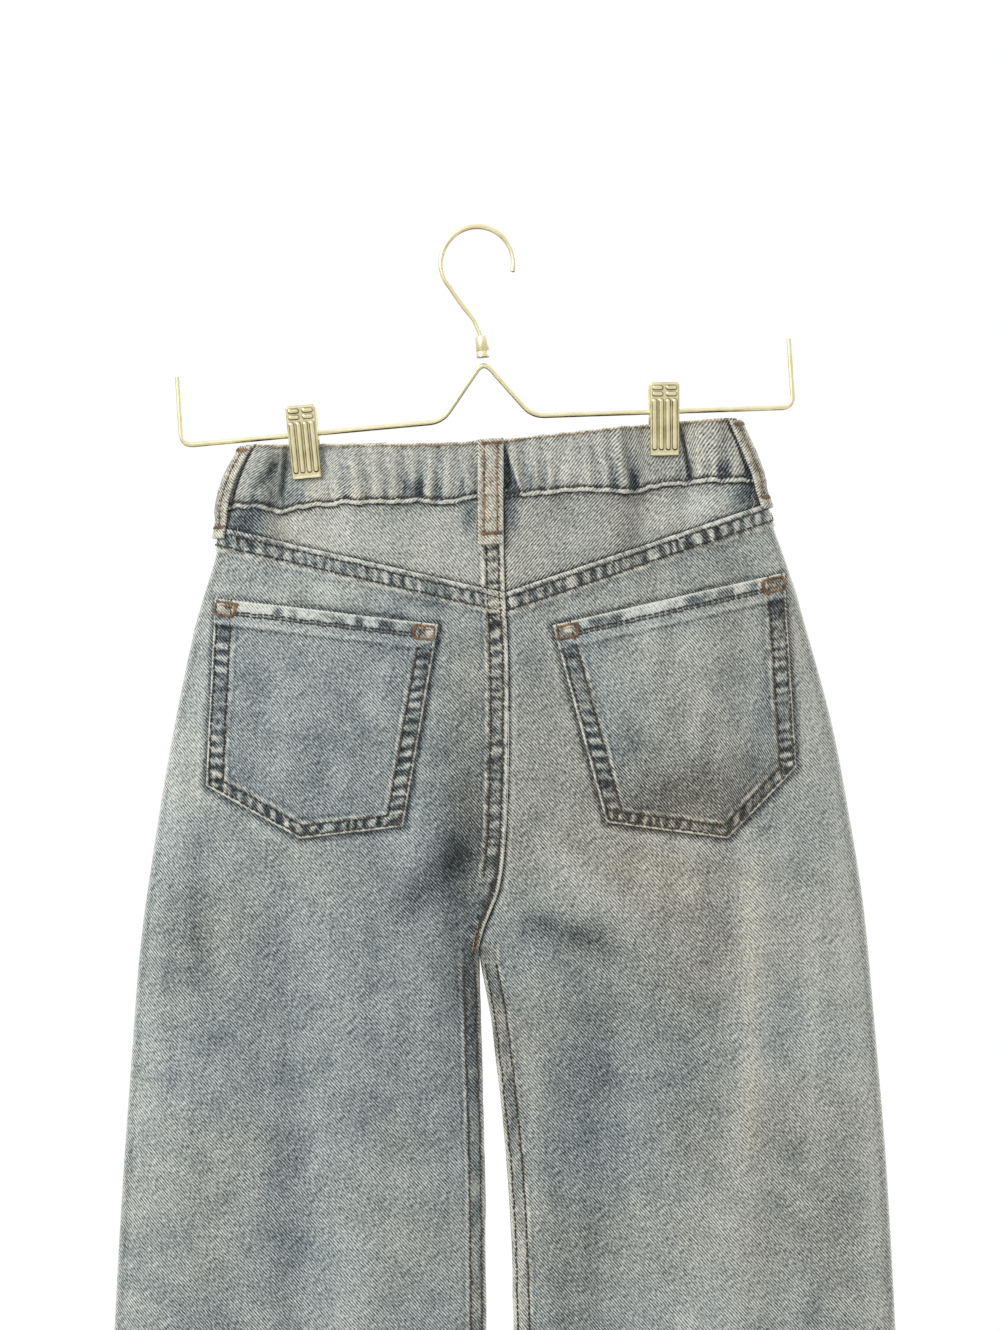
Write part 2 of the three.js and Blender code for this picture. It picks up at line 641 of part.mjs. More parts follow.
function hangerHook() {
  const { collar } = hanger;
  const collarBottom = hanger.arms + hanger.peak + wireRadius + seamGap;
  const collarTop = collarBottom + collar.height;
  const shank = [[0, collarBottom + 1], [0, collarTop + 3], [2.6, collarTop + 9], [9, collarTop + 15]];
  const turns = Array.from({ length: 16 }, (_, k) => THREE.MathUtils.degToRad(-42 + k * 16));
  const arc = turns.map((turn) => [
    hookRadius * Math.cos(turn),
    hookMiddle + hookRadius * Math.sin(turn),
  ]);
  const path = [...shank, ...arc].map(([x, z]) => new THREE.Vector3(x, 0, z));
  const sleeve = new THREE.CylinderGeometry(collar.radius, collar.radius, collar.height, 16);
  sleeve.rotateX(Math.PI / 2).translate(0, 0, (collarBottom + collarTop) / 2);
  return joined([wire(path), sleeve]).applyMatrix4(swing);
}

add("hanger_bar", hangerBar(), paleGold);
add("hanger_hook", hangerHook(), paleGold);

// ---- Clips ----
// A plate drawn in x and z, standing from y to y + depth.
function plate(shape, y, depth) {
  const options = { depth, bevelEnabled: false, curveSegments: 1 };
  return new THREE.ExtrudeGeometry(shape, options).rotateX(Math.PI / 2).translate(0, y + depth, 0);
}

// An upright slot shape with rounded corners or ends.
function slot(x, low, high, width, radius) {
  const half = width / 2;
  const shape = new THREE.Shape();
  shape.absarc(x + half - radius, high - radius, radius, 0, Math.PI / 2);
  shape.absarc(x - half + radius, high - radius, radius, Math.PI / 2, Math.PI);
  shape.absarc(x - half + radius, low + radius, radius, Math.PI, 1.5 * Math.PI);
  shape.absarc(x + half - radius, low + radius, radius, 1.5 * Math.PI, 2 * Math.PI);
  return shape;
}

// One jaw, facing +Y, about the wire at its origin: a plate with four ribs and four beads,
// and two ears that the wire runs through. earX: the ears' distance from the middle.
function clipJaw(earX) {
  const face = jaw.thickness - 0.3;
  const pieces = [plate(slot(0, -jaw.below, jaw.above, jaw.width, jaw.corner), 0, jaw.thickness)];
  for (let k = 0; k < rib.count; k += 1) {
    const x = (k - (rib.count - 1) / 2) * rib.pitch;
    pieces.push(plate(slot(x, rib.low, rib.high, rib.width, rib.width / 2), face, 0.3 + rib.rise));
  }
  for (const z of bead.rows) {
    for (const x of [-bead.x, bead.x]) {
      const shape = slot(x, z - bead.width / 2, z + bead.width / 2, bead.length, bead.width / 2);
      pieces.push(plate(shape, face, 0.3 + rib.rise));
    }
  }
  const stand = jaw.grip + jaw.below * Math.tan(jaw.tilt);
  pieces.forEach((piece) => piece.rotateX(-jaw.tilt).translate(0, stand, 0));
  const ear = new THREE.Shape();
  ear.moveTo(stand + jaw.thickness / 2, -4);
  ear.lineTo(stand + jaw.thickness / 2, 4);
  ear.absarc(0, 0, 3.6, Math.PI / 2, 1.5 * Math.PI);
  ear.holes.push(new THREE.Path().absarc(0, 0, wireRadius + 2 * seamGap, 0, 2 * Math.PI));
  for (const x of [-earX, earX]) {
    const leaf = new THREE.ExtrudeGeometry(ear, { depth: 0.9, bevelEnabled: false, curveSegments: 4 });
    // The shape's own x and y become y and z, and its depth becomes x.
    leaf.applyMatrix4(new THREE.Matrix4().set(0, 0, 1, x - 0.45, 1, 0, 0, 0, 0, 1, 0, 0, 0, 0, 0, 1));
    pieces.push(leaf);
  }
  return joined(pieces);
}

// A coil spring round the wire, as a sleeve with one swelling for each turn.
function clipSpring() {
  const turns = 5;
  const half = 5.6;
  const profile = [[1.9, -half]];
  for (let k = 0; k < turns; k += 1) {
    const start = -half + (2 * half * k) / turns;
    profile.push([3.3, start + 0.1], [4, start + half / turns]);
  }
  profile.push([3.3, half], [1.9, half], [1.9, -half]);
  const points = profile.map(([r, x]) => new THREE.Vector2(r, x));
  return new THREE.LatheGeometry(points, 14).rotateZ(Math.PI / 2);
}

for (const clip of clips) {
  // The place on the arm before the hanger leans, from where the clip hangs.
  const armX = clip.x - Math.sin(hanger.lean) * (hanger.arms - hookMiddle);
  const onWire = new THREE.Vector3(armX, 0, armHeight(armX)).applyMatrix4(swing);
  const settle = (geometry) =>
    geometry.applyMatrix4(new THREE.Matrix4().makeRotationY(clip.tilt)).translate(...onWire);
  add(`${clip.name}_back_jaw`, settle(clipJaw(7.6)), paleGold);
  add(`${clip.name}_front_jaw`, settle(clipJaw(6.4).rotateZ(Math.PI)), paleGold);
  add(`${clip.name}_spring`, settle(clipSpring()), darkSteel);
}

export default jeans;
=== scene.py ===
import bpy
import numpy as np
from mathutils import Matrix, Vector


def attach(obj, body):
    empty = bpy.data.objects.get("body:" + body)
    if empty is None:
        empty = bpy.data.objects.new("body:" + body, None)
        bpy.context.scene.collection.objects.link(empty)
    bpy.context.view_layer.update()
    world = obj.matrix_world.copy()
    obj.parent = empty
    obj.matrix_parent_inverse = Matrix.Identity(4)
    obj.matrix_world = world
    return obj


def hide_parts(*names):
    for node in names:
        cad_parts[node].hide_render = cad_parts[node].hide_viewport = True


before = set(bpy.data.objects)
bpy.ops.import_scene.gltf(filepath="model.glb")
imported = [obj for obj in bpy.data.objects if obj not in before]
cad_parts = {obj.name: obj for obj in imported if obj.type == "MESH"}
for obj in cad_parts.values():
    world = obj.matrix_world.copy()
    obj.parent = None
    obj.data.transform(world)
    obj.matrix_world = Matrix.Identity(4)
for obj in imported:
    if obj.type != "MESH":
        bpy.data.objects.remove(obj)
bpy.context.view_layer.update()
mm = 0.001  # sizes are in millimetres, and every mesh is made in metres

# the cut has the same sizes as the solids
garment = {
    "length": 940, "crotch": 279, "crotchCurve": 74, "spreadFrom": -170, "spreadTo": -350, "seatEnd": -227,
    "waistTop": -116.6, "waistShift": -14.6, "waistSlope": np.tan(np.radians(3.1)),
    "belly": 13, "bellyHalf": 62, "cloth": 1.5, "seamGap": 0.3, "hemRise": 1.0, "lapRise": 1.1,
    "bandOut": 1.4, "bandIn": 1.6,
}
# heights are below the waistband's top; outer is centre to side, sway how far the middle lies to the left
body = {
    "z":     [8, -11, -28, -55, -82, -110, -165, -220, -265, -320, -420, -600, -800, -940],
    "outer": [132, 140.8, 146.5, 153.2, 162, 169.6, 182.4, 192, 198.6, 203.5, 211, 220, 228, 233],
    "sway":  [7, 8.2, 7.5, 5.2, 4.6, 4, 2.1, 1.4, 1, 0.6, 0, 0, 0, 0],
    "back":  [10, 10, 11, 12.5, 14.5, 16.5, 19, 20.5, 20.5, 19.5, 18.5, 18, 18, 18],
    "front": [10, 10.5, 11.5, 13.5, 15.5, 17.5, 19.5, 20.5, 20.5, 19.5, 18.5, 18, 18, 18],
    "round": [8, 8, 7.5, 7, 6.2, 5.5, 4.8] + [4.5] * 7,
}
seams = {  # where the two halves end: one seam down to the crotch, then two inseams
    "z":     [8, -45, -84, -119, -186, -230, -247, -257, -268, -279, -320, -420, -600, -800, -940],
    "left":  [0.4, 0, -0.9, -2.6, -2.3, 0, 3, 7, 11.3, 13.4, 12.5, 10, 10, 13, 15],
    "right": [0.4, 0, -0.9, -2.6, -2.3, 0, 3, 7, 11.3, 13.4, 6.5, -3, -8, -12, -14],
}
folds = {  # the hanging folds: where each starts, how it leans, its length, half width and height
    "face":   [1] * 9 + [-1] * 6,
    "x":      [24, -143, 128, -60, 84, 170, -108, -178, 48, 60, -66, 140, -138, 100, -182],
    "z":      [-150, -170, -190, -255, -330, -400, -360, -430, -520, -210, -230, -300, -290, -470, -440],
    "lean":   [-.02, .06, -.05, .1, -.02, -.06, .04, .07, .02, -.04, .05, -.05, .06, -.03, .05],
    "length": [250, 420, 330, 380, 600, 530, 570, 500, 410, 460, 500, 560, 600, 460, 480],
    "width":  [13, 11, 17, 20, 18, 15, 17, 15, 14, 18, 17, 16, 18, 17, 14],
    "height": [-3.2, 3, -2.6, -3.4, 4, -4, 4.2, -3.8, -3.6, 3.4, 3.6, -3.8, -4, 4, 3.4],
}
creases = {  # soft ridges and troughs from one place to another, each with a half width and height
    "face":   [1] * 10 + [-1] * 4,
    "fromX":  [118.2, 122.5, -96.6, 92, 60, -40, 15, -20, -8, 140, 30, -34, 90, -88],
    "fromZ":  [4, -4, 4, -78, -84, -92, -215, -225, -262, -48, -120, -124, -40, -42],
    "toX":    [122.6, 136.6, -103, 40, 25, -95, 60, -75, -60, 95, 75, -82, 60, -55],
    "toZ":    [-27, -20, -27, -92, -93, -82, -262, -268, -279, -62, -165, -170, -110, -105],
    "width":  [1.9, 2.1, 1.1, 3.5, 3, 5, 9, 9, 8, 5, 9, 9, 6, 6],
    "height": [-2.3, -1.9, -2.6, 0.5, -0.5, 0.5, -1.6, 1.5, -1.4, -0.5, 1.4, 1.4, -1, -1],
}
clipPlaces = {"x": [95.9, -102.7], "tilt": np.radians([5.3, 0.5]), "below": 25.0}


def smooth(low, high, v):
    # an even S from 0 at low to 1 at high
    t = np.clip((v - low) / (high - low), 0, 1)
    return t * t * (3 - 2 * t)


def bump(v, width):
    # a bell, 1 high where v is 0
    return np.exp(-((v / width) ** 2))


def mix(a, b, t):
    # a where t is 0, and b where it is 1
    return a + (b - a) * t


def roundEdge(distance, reach):
    # a quarter circle that rises from an edge and is level past its reach
    return np.sqrt(np.clip(1 - (1 - distance / reach).clip(0, 1) ** 2, 0, 1))


def lengthAlong(points, axis=0):
    # the distance gone along a line of points, from 0
    steps = np.linalg.norm(np.diff(points, axis=axis), axis=-1)
    return np.insert(np.cumsum(steps, axis=axis), 0, 0, axis=axis)


def readTable(table, key, z):
    # a cubic through the rows, whose slope at each row is that between its neighbours
    zs, values = np.array(table["z"], float), np.array(table[key], float)
    spans = lambda v: np.concatenate([[v[1] - v[0]], v[2:] - v[:-2], [v[-1] - v[-2]]])
    slopes = spans(values) / spans(zs)
    i = np.clip(np.searchsorted(-zs, -np.asarray(z, float)) - 1, 0, len(zs) - 2)
    span = zs[i + 1] - zs[i]
    t = np.clip((z - zs[i]) / span, 0, 1)
    bend = slopes[i] * span * t * (1 - t) ** 2 + slopes[i + 1] * span * t * t * (t - 1)
    return mix(values[i], values[i + 1], t * t * (3 - 2 * t)) + bend


def innerEdge(side, z):
    # how far from the middle a half starts, half a gap past the seam
    edge = np.where(side > 0, readTable(seams, "left", z), readTable(seams, "right", z))
    return side * edge + garment["seamGap"] / 2


def outerEdge(side, z):
    # how far from the middle the side seam lies
    return readTable(body, "outer", z) + side * readTable(body, "sway", z)


def fromClip(x):
    # how far across from the nearer clip, halfway down it
    below = clipPlaces["below"] / 2
    middles = np.array(clipPlaces["x"]) - garment["waistShift"] - below * np.sin(clipPlaces["tilt"])
    return np.minimum(abs(x - middles[0]), abs(x - middles[1]))


def foldHeight(face, x, z):
    # each fold is a long hump, faded in at its top and out towards its foot
    total = 0 * x
    for f, x0, z0, lean, length, width, height in zip(*folds.values()):
        along = (z0 - z) / length
        kept = 1 - smooth(0.7, 1, along) * (1 if z0 - length > -700 else 0.4)
        hump = smooth(0, 0.3, along) * kept * bump(x - x0 - lean * (z0 - z), width)
        total = total + np.where(face == f, height * hump, 0)
    return total


def creaseHeight(face, x, z):
    # distance from a slightly bowed line gives the trough, and the place along it fades both ends
    total = 0 * x
    for f, x0, z0, x1, z1, width, height in zip(*creases.values()):
        dx, dz = x1 - x0, z1 - z0
        length = np.hypot(dx, dz)
        along = ((x - x0) * dx + (z - z0) * dz) / length**2
        off = ((x - x0) * dz - (z - z0) * dx) / length + 0.12 * length * (along - 0.5) ** 2
        fade = smooth(-0.12, 0.25, along) * (1 - smooth(0.7, 1.15, along))
        total = total + np.where(face == f, height * fade * bump(off, width), 0)
    return total


def facePoint(face, side, share, z):
    # share 0 is the centre seam or inseam and 1 the side seam; the section is a blunt half oval, whose
    # inner end closes below the crotch, and which the clips press flat
    t = (1 - np.cos(np.pi * share)) / 2
    x = side * mix(innerEdge(side, z), outerEdge(side, z), t)
    depth = np.where(face > 0, readTable(body, "back", z), readTable(body, "front", z))
    atSeam = np.clip(1 - (z + garment["crotch"]) / garment["crotchCurve"], 0, 1)
    spread = 1 - smooth(garment["spreadTo"], garment["spreadFrom"], z)
    fromInseam = smooth(0, 0.16, t)
    closing = mix(atSeam, spread, fromInseam)
    sideFold = np.sqrt(np.maximum(0, 1 - t ** readTable(body, "round", z)))
    innerFold = np.sqrt(np.maximum(0, 1 - closing * (1 - t) ** 4.5))
    belly = garment["belly"] * smooth(-150, -10, z) * bump(x, garment["bellyHalf"]) * sideFold
    pinch = 0.8 * smooth(-95, -22, z) * (1 - smooth(10, 27, fromClip(x)))
    y = (depth * sideFold * innerFold + np.where(face > 0, 0, belly)) * (1 - pinch)
    calm = smooth(0, 0.12, 1 - t) * (1 - closing * (1 - fromInseam))
    y = y + foldHeight(face, x, z) * calm + garment["seamGap"] / 2
    return np.stack([x, face * y, z + 0 * x], axis=-1)


def clothPoint(face, share, z, lift):
    # the face's point moved out along its normal; a share past 1 goes round the side seam
    share, z, lift = np.broadcast_arrays(*(np.asarray(v, float) for v in (share, z, lift)))
    side = np.where(share < 0, -1.0, 1.0)
    size = abs(share)
    onFace = np.where(size > 1, -face, face) * 1.0
    size = np.where(size > 1, 2 - size, size)
    step = np.where(size > 0.5, -0.004, 0.004)
    point = facePoint(onFace, side, size, z)
    along = (facePoint(onFace, side, size + step, z) - point) * (np.sign(step) * side)[..., None]
    up = facePoint(onFace, side, size, z + 0.5) - facePoint(onFace, side, size, z - 0.5)
    normal = np.cross(up, along)
    normal *= (onFace / np.linalg.norm(normal, axis=-1))[..., None]
    return point + normal * lift[..., None]


def hang(points):
    # plumb from a leaning waist, and in metres
    x, y, z = np.moveaxis(points, -1, 0)
    z = z + garment["waistTop"] - garment["waistSlope"] * x
    return np.stack([x + garment["waistShift"], y, z], axis=-1) * mm


def shareAt(x, z):
    # the share whose point lies at x: facePoint's cosine turned round
    side = np.where(x > readTable(seams, "left", z), 1.0, -1.0)
    inner = innerEdge(side, z)
    t = np.clip((side * x - inner) / (outerEdge(side, z) - inner), 0, 1)
    return side * np.maximum(np.arccos(1 - 2 * t) / np.pi, 1e-9)


def noise(x, z, size, seed):
    # random values on a square lattice, blended smoothly between its corners, from -1 to 1
    lattice = np.random.RandomState(seed).rand(97, 97) * 2 - 1
    u, v = x / size, z / size
    i, j = np.floor(u).astype(int), np.floor(v).astype(int)
    s, t = smooth(0, 1, u - i), smooth(0, 1, v - j)
    at = lambda a, b: lattice[(i + a) % 97, (j + b) % 97]
    return mix(mix(at(0, 0), at(1, 0), s), mix(at(0, 1), at(1, 1), s), t)


# the heights of the pieces' edges at x
bandTop = lambda x: 6 * (1 - bump(x - 22, 85))
bandBottom = lambda x: -30.5 + 3 * (1 - bump(x, 100))
yokeSeam = lambda x: -83.5 + 0.287 * abs(x)
scoopShare = lambda x: np.clip((abs(x - 7.4) - 83.5) / 64, 0, 1)
scoopEdge = lambda x: bandBottom(x) - 58 * np.sin(np.pi / 2 * scoopShare(x))


def bandWave(x):
    # the waistband's bottom edge dips and steps here and there
    dips = 3.0 * bump(x - 121, 8.5) + 1.5 * bump(x - 33, 14) + 1.3 * bump(x + 128, 12) + 0.9 * bump(x + 60, 9)
    dips = dips + 1.5 * smooth(88.5, 91.5, x) * (1 - 0.5 * smooth(108, 114, x))
    dips = dips + 1.3 * smooth(-80, -77.5, x) * (1 - smooth(-74, -45, x))
    for amount, size, seed in ((0.5, 15, 93), (0.7, 5.2, 94), (0.35, 2.3, 97)):
        dips = dips + amount * noise(x, 0 * x, size, seed)
    return 1.2 + dips


def heightOnEdge(face, side, edge, share):
    # share(z) gives the columns' places at a height; x there and the edge's height are found in turns
    z = edge(0.0)
    for _ in range(14):
        z = edge(facePoint(face, side, share(z), z)[..., 0])
    return z


def steepness(edge, x):
    # how much longer the edge is than its run across
    return np.sqrt(1 + ((edge(x + 1) - edge(x - 1)) / 2) ** 2)


def makeMesh(name, vertices, faces, smoothAngle=50):
    # smooth shaded, but for edges sharper than the angle
    mesh = bpy.data.meshes.new(name)
    mesh.from_pydata(np.reshape(vertices, (-1, 3)).tolist(), [], faces)
    mesh.polygons.foreach_set("use_smooth", np.ones(len(mesh.polygons), bool))
    mesh.set_sharp_from_angle(angle=np.radians(smoothAngle))
    mesh.update()
    piece = bpy.data.objects.new(name, mesh)
    bpy.context.scene.collection.objects.link(piece)
    return piece


def dress(piece, material, slot, *nodes):
    piece.data.materials.append(material)
    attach(piece, "root")
    if nodes:
        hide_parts(*nodes)


def wallFaces(rows, columns):
    # the outer grid, the inner grid turned round, and a rim between their borders
    count = rows * columns
    at = np.arange(count).reshape(rows, columns)
    grid = np.stack([c.ravel() for c in (at[:-1, :-1], at[1:, :-1], at[1:, 1:], at[:-1, 1:])], axis=1)
    rim = np.concatenate([at[0, ::-1], at[1:, 0], at[-1, 1:], at[-2:0:-1, -1]])
    after = np.roll(rim, -1)
    rimQuads = np.stack([rim, rim + count, after + count, after], axis=1)
    return np.concatenate([grid, grid[:, ::-1] + count, rimQuads])


def facingOut(vertices, faces):
    # a closed mesh whose volume comes out negative is inside out
    a, b, c, d = (vertices[faces[:, k]] for k in range(4))
    triple = lambda p, q, r: np.einsum("ij,ij->i", p, np.cross(q, r)).sum()
    return (faces if triple(a, b, c) + triple(a, c, d) > 0 else faces[:, ::-1]).tolist()


def tubeFaces(rings, sides):
    # four-sided faces from ring to ring, and a cap at each end
    at = np.arange(rings * sides).reshape(rings, sides)
    after = np.roll(at, -1, axis=1)
    quads = np.stack([at[:-1], after[:-1], after[1:], at[1:]], axis=-1).reshape(-1, 4)
    return quads.tolist() + [at[0, ::-1].tolist(), at[-1].tolist()]


def clothPiece(node, face, share, z, out, inn, wornAndShaded, warm, turn=1, slot="denim", oneRow=None):
    # the cloth's two sides are grids at their heights over the body, out and inn, joined by a rim;
    # the wear value and warm, from 0 to 1 at each point, choose the shade; the wear value also carries
    # painted shade and painted light
    outer, inner = hang(clothPoint(face, share, z, out)), hang(clothPoint(face, share, z, inn))
    vertices = np.concatenate([outer.reshape(-1, 3), inner.reshape(-1, 3)])
    piece = makeMesh(node + "Cloth", vertices, facingOut(vertices, wallFaces(*outer.shape[:2])))
    mesh = piece.data
    # the weave is measured on the inside, which has no bands or dents, from the middle of each row, or
    # of one row only, so that gathers don't shear it
    across = lengthAlong(inner, 1)
    middle, x = outer.shape[1] // 2, outer[..., 0]
    across = across - across[:, [middle]] + x[:, [middle]] * np.sign(x[:, [-1]] - x[:, [0]])
    if oneRow is not None:
        across = np.broadcast_to(across[oneRow], across.shape)
    uv = np.stack([across * turn, outer[..., 2]], axis=-1).reshape(-1, 2)
    corners = np.zeros(len(mesh.loops), int)
    mesh.loops.foreach_get("vertex_index", corners)
    mesh.uv_layers.new(name="cloth").data.foreach_set("uv", np.tile(uv, (2, 1))[corners].ravel())
    for key, values in (("wornAndShaded", wornAndShaded), ("warm", warm)):
        values = np.tile(np.broadcast_to(values, across.shape).ravel(), 2).clip(0, 1)
        mesh.attributes.new(key, "FLOAT", "POINT").data.foreach_set("value", values)
    dress(piece, cloths[slot], slot, node)
    # the area that it covers and its lengths across and down are worked out, as for a cut that hangs flat and
    # unstretched, but they are not kept
    a, b = np.diff(outer, axis=1)[:-1], np.diff(outer, axis=0)[:, :-1]
    area = np.linalg.norm(np.cross(a, b), axis=-1).sum()
    flat = [round(float(lengthAlong(outer, axis).max()), 4) + 1e-4 for axis in (1, 0)]
    float(area)


def colour(shade, strength=1.0):
    # from the usual scale of 0 to 255 to the linear light that the shaders use
    c = np.array(shade) / 255
    c = np.where(c < 0.04045, c / 12.92, ((c + 0.055) / 1.055) ** 2.4) * strength
    return (*c.tolist(), 1.0)


def plug(tree, node, inputs):
    # a socket is linked, and a plain value is set
    for key, value in dict(inputs).items():
        if isinstance(value, bpy.types.NodeSocket):
            tree.links.new(value, node.inputs[key])
        else:
            node.inputs[key].default_value = value
    return node


def newNode(tree, kind, inputs=(), **settings):
    made = tree.nodes.new("ShaderNode" + kind)
    for key, value in settings.items():
        setattr(made, key, value)
    return plug(tree, made, inputs)


def calculate(tree, operation, *values):
    return newNode(tree, "Math", enumerate(values), operation=operation).outputs[0]


def grain(tree, vector, scale, detail):
    return newNode(tree, "TexNoise", {"Vector": vector, "Scale": scale, "Detail": detail}).outputs["Fac"]


def relief(tree, height, strength, distance):
    inputs = {"Height": height, "Strength": strength, "Distance": distance}
    return newNode(tree, "Bump", inputs).outputs[0]


def attribute(tree, name):
    return newNode(tree, "Attribute", attribute_name=name).outputs["Fac"]


def ramp(tree, factor, stops):
    made = newNode(tree, "ValToRGB", {"Fac": factor})
    elements = made.color_ramp.elements
    elements.remove(elements[1])
    elements[0].position, elements[0].color = stops[0]
    for position, shade in stops[1:]:
        elements.new(position).color = shade
    return made.outputs["Color"]


def newMaterial(name):
    material = bpy.data.materials.new(name)
    material.use_nodes = True
    tree = material.node_tree
    return material, tree, tree.nodes["Principled BSDF"]


denimLook = {
    "twillPitch": 0.0013, "twillTurn": np.radians(-42),  # metres from rib to rib, and their slant
    "light": 0.74,  # how much of each shade below comes back under the studio's light
    "ribs": 0.54, "yarns": 1.35, "flecks": 0.26, "clouds": 0.3,  # how far each moves the shade
    "cool": [(0, (31, 36, 40)), (0.25, (88, 99, 104)), (0.5, (143, 153, 154)),
             (0.75, (191, 198, 195)), (1, (230, 232, 225))],
    "warm": [(0, (46, 42, 35)), (0.25, (108, 104, 92)), (0.5, (163, 158, 142)),
             (0.75, (208, 202, 184)), (1, (244, 239, 220))],
}


def denim(name, contrast=1.0):
    # twill ribs, broken yarns and soft mottling are added to the wear value, which also carries painted shade
    # and light, and which picks the shade
    look = denimLook
    material, tree, shader = newMaterial(name)
    cloth = newNode(tree, "UVMap", uv_map="cloth").outputs[0]
    turned = newNode(tree, "Mapping", {"Vector": cloth, "Rotation": (0, 0, look["twillTurn"])}).outputs[0]
    drawn = newNode(tree, "Mapping", {"Vector": turned, "Scale": (1.0, 0.45, 1.0)}).outputs[0]
    wave = {"Vector": turned, "Scale": 0.31416 / look["twillPitch"], "Distortion": 1.3,
            "Detail": 2.0, "Detail Scale": 0.6}
    ribs = newNode(tree, "TexWave", wave).outputs["Fac"]
    yarns = grain(tree, drawn, 1050.0, 2.0)
    clouds = grain(tree, cloth, 55.0, 3.0)
    plain = calculate(tree, "MULTIPLY_ADD", clouds, 1.6, 0.2)  # ribs show more in some places
    ribs = calculate(tree, "MULTIPLY", calculate(tree, "SUBTRACT", ribs, 0.5), plain)
    total = calculate(tree, "MULTIPLY_ADD", ribs, look["ribs"] * contrast, attribute(tree, "wornAndShaded"))
    for source, key in ((yarns, "yarns"), (grain(tree, cloth, 260.0, 3.0), "flecks"), (clouds, "clouds")):
        centred = calculate(tree, "SUBTRACT", source, 0.5)
        total = calculate(tree, "MULTIPLY_ADD", centred, look[key] * contrast, total)
    cool, warm = (ramp(tree, total, [(at, colour(c, look["light"])) for at, c in look[key]])
                  for key in ("cool", "warm"))
    mixed = newNode(tree, "Mix", {0: attribute(tree, "warm"), 6: cool, 7: warm}, data_type="RGBA").outputs[2]
    height = calculate(tree, "MULTIPLY_ADD", ribs, 0.6, yarns)
    plug(tree, shader, {"Base Color": mixed, "Normal": relief(tree, height, 0.55, 0.0004), "Roughness": 0.88,
                        "Specular IOR Level": 0.25, "Sheen Weight": 0.12, "Sheen Roughness": 0.5})
    return material


def thread(name, dark, light):
    # a twisted thread: fine noise picks between two shades, and a finer one lies in its relief
    material, tree, shader = newMaterial(name)
    place = newNode(tree, "TexCoord").outputs["Object"]
    shade = ramp(tree, grain(tree, place, 160.0, 2.0), [(0.35, colour(dark)), (0.65, colour(light))])
    twist = relief(tree, grain(tree, place, 3000.0, 1.0), 0.6, 0.0001)
    plug(tree, shader, {"Base Color": shade, "Normal": twist, "Roughness": 0.7, "Sheen Weight": 0.1})
    return material


def metal(name, dull, bright, roughness):
    # plated wire and sheet: a faint cloudiness in the colour, painted shade in the grooves and on the
    # undersides, and fine drawn lines in the gloss
    material, tree, shader = newMaterial(name)
    place = newNode(tree, "TexCoord").outputs["Object"]
    facing = newNode(tree, "SeparateXYZ", {0: newNode(tree, "NewGeometry").outputs["Normal"]}).outputs["Z"]
    stretch = lambda value, *ends: newNode(tree, "MapRange", dict(zip(
        ("Value", "From Min", "From Max", "To Min", "To Max"), (value, *ends)))).outputs[0]
    calm = calculate(tree, "MULTIPLY_ADD", grain(tree, place, 140.0, 4.0), 0.4, 0.32)
    # painted shade: darker along the grooves and the edges that the plate marks
    depth = calculate(tree, "MULTIPLY_ADD", attribute(tree, "grooveShade"), -0.36, calm)
    # painted shade: faces that look downward are darkened
    depth = calculate(tree, "SUBTRACT", depth, stretch(facing, -0.25, -0.75, 0.0, 0.34))
    # the darkest stop, which the painted shade reaches
    deep = [0.22 * part for part in dull]
    drawn = newNode(tree, "Mapping", {"Vector": place, "Scale": (3000.0, 3000.0, 160.0)}).outputs[0]
    lines = grain(tree, drawn, 1.0, 2.0)
    plug(tree, shader, {
        "Base Color": ramp(tree, depth, [(0.05, colour(deep)), (0.4, colour(dull)), (0.58, colour(bright))]),
        "Roughness": stretch(lines, 0.3, 0.7, roughness - 0.07, roughness + 0.1),
        "Normal": relief(tree, lines, 0.12, 0.0001), "Metallic": 1.0,
    })
    return material


cloths = {"denim": denim("washedDenim"), "faded_denim": denim("fadedDenim", 1.1)}
seamThread = thread("seamThread", (30, 27, 23), (64, 55, 44))
rustThread = thread("rustThread", (80, 58, 40), (152, 118, 82))
tanThread = thread("tanThread", (104, 84, 66), (172, 150, 124))
paleThread = thread("paleThread", (150, 140, 118), (196, 188, 166))
paleGold = metal("paleGold", (236, 224, 176), (252, 244, 206), 0.33)
darkSteel = metal("darkSteel", (70, 66, 60), (112, 108, 100), 0.38)
print("finishes made")


# the camera looks level from behind the jeans, and the studio is soft and pale
studio = {
    "middle": (-0.0125, 0, -0.2397), "distance": 1.7, "frameWidth": 0.55, "floor": -1.074, "floorHalf": 1.2,
    "backdrop": 1.02, "sky": 0.72, "above": 0.3,  # how bright the surroundings look, and how much they light
    "key": ((1.75, 1.6, 0.95), (0, 0, -0.35), 0.8, 50),  # each lamp's place, aim, size and power
    "back": ((-1.8, -1.6, 0.9), (0, 0, -0.4), 0.9, 50),
}


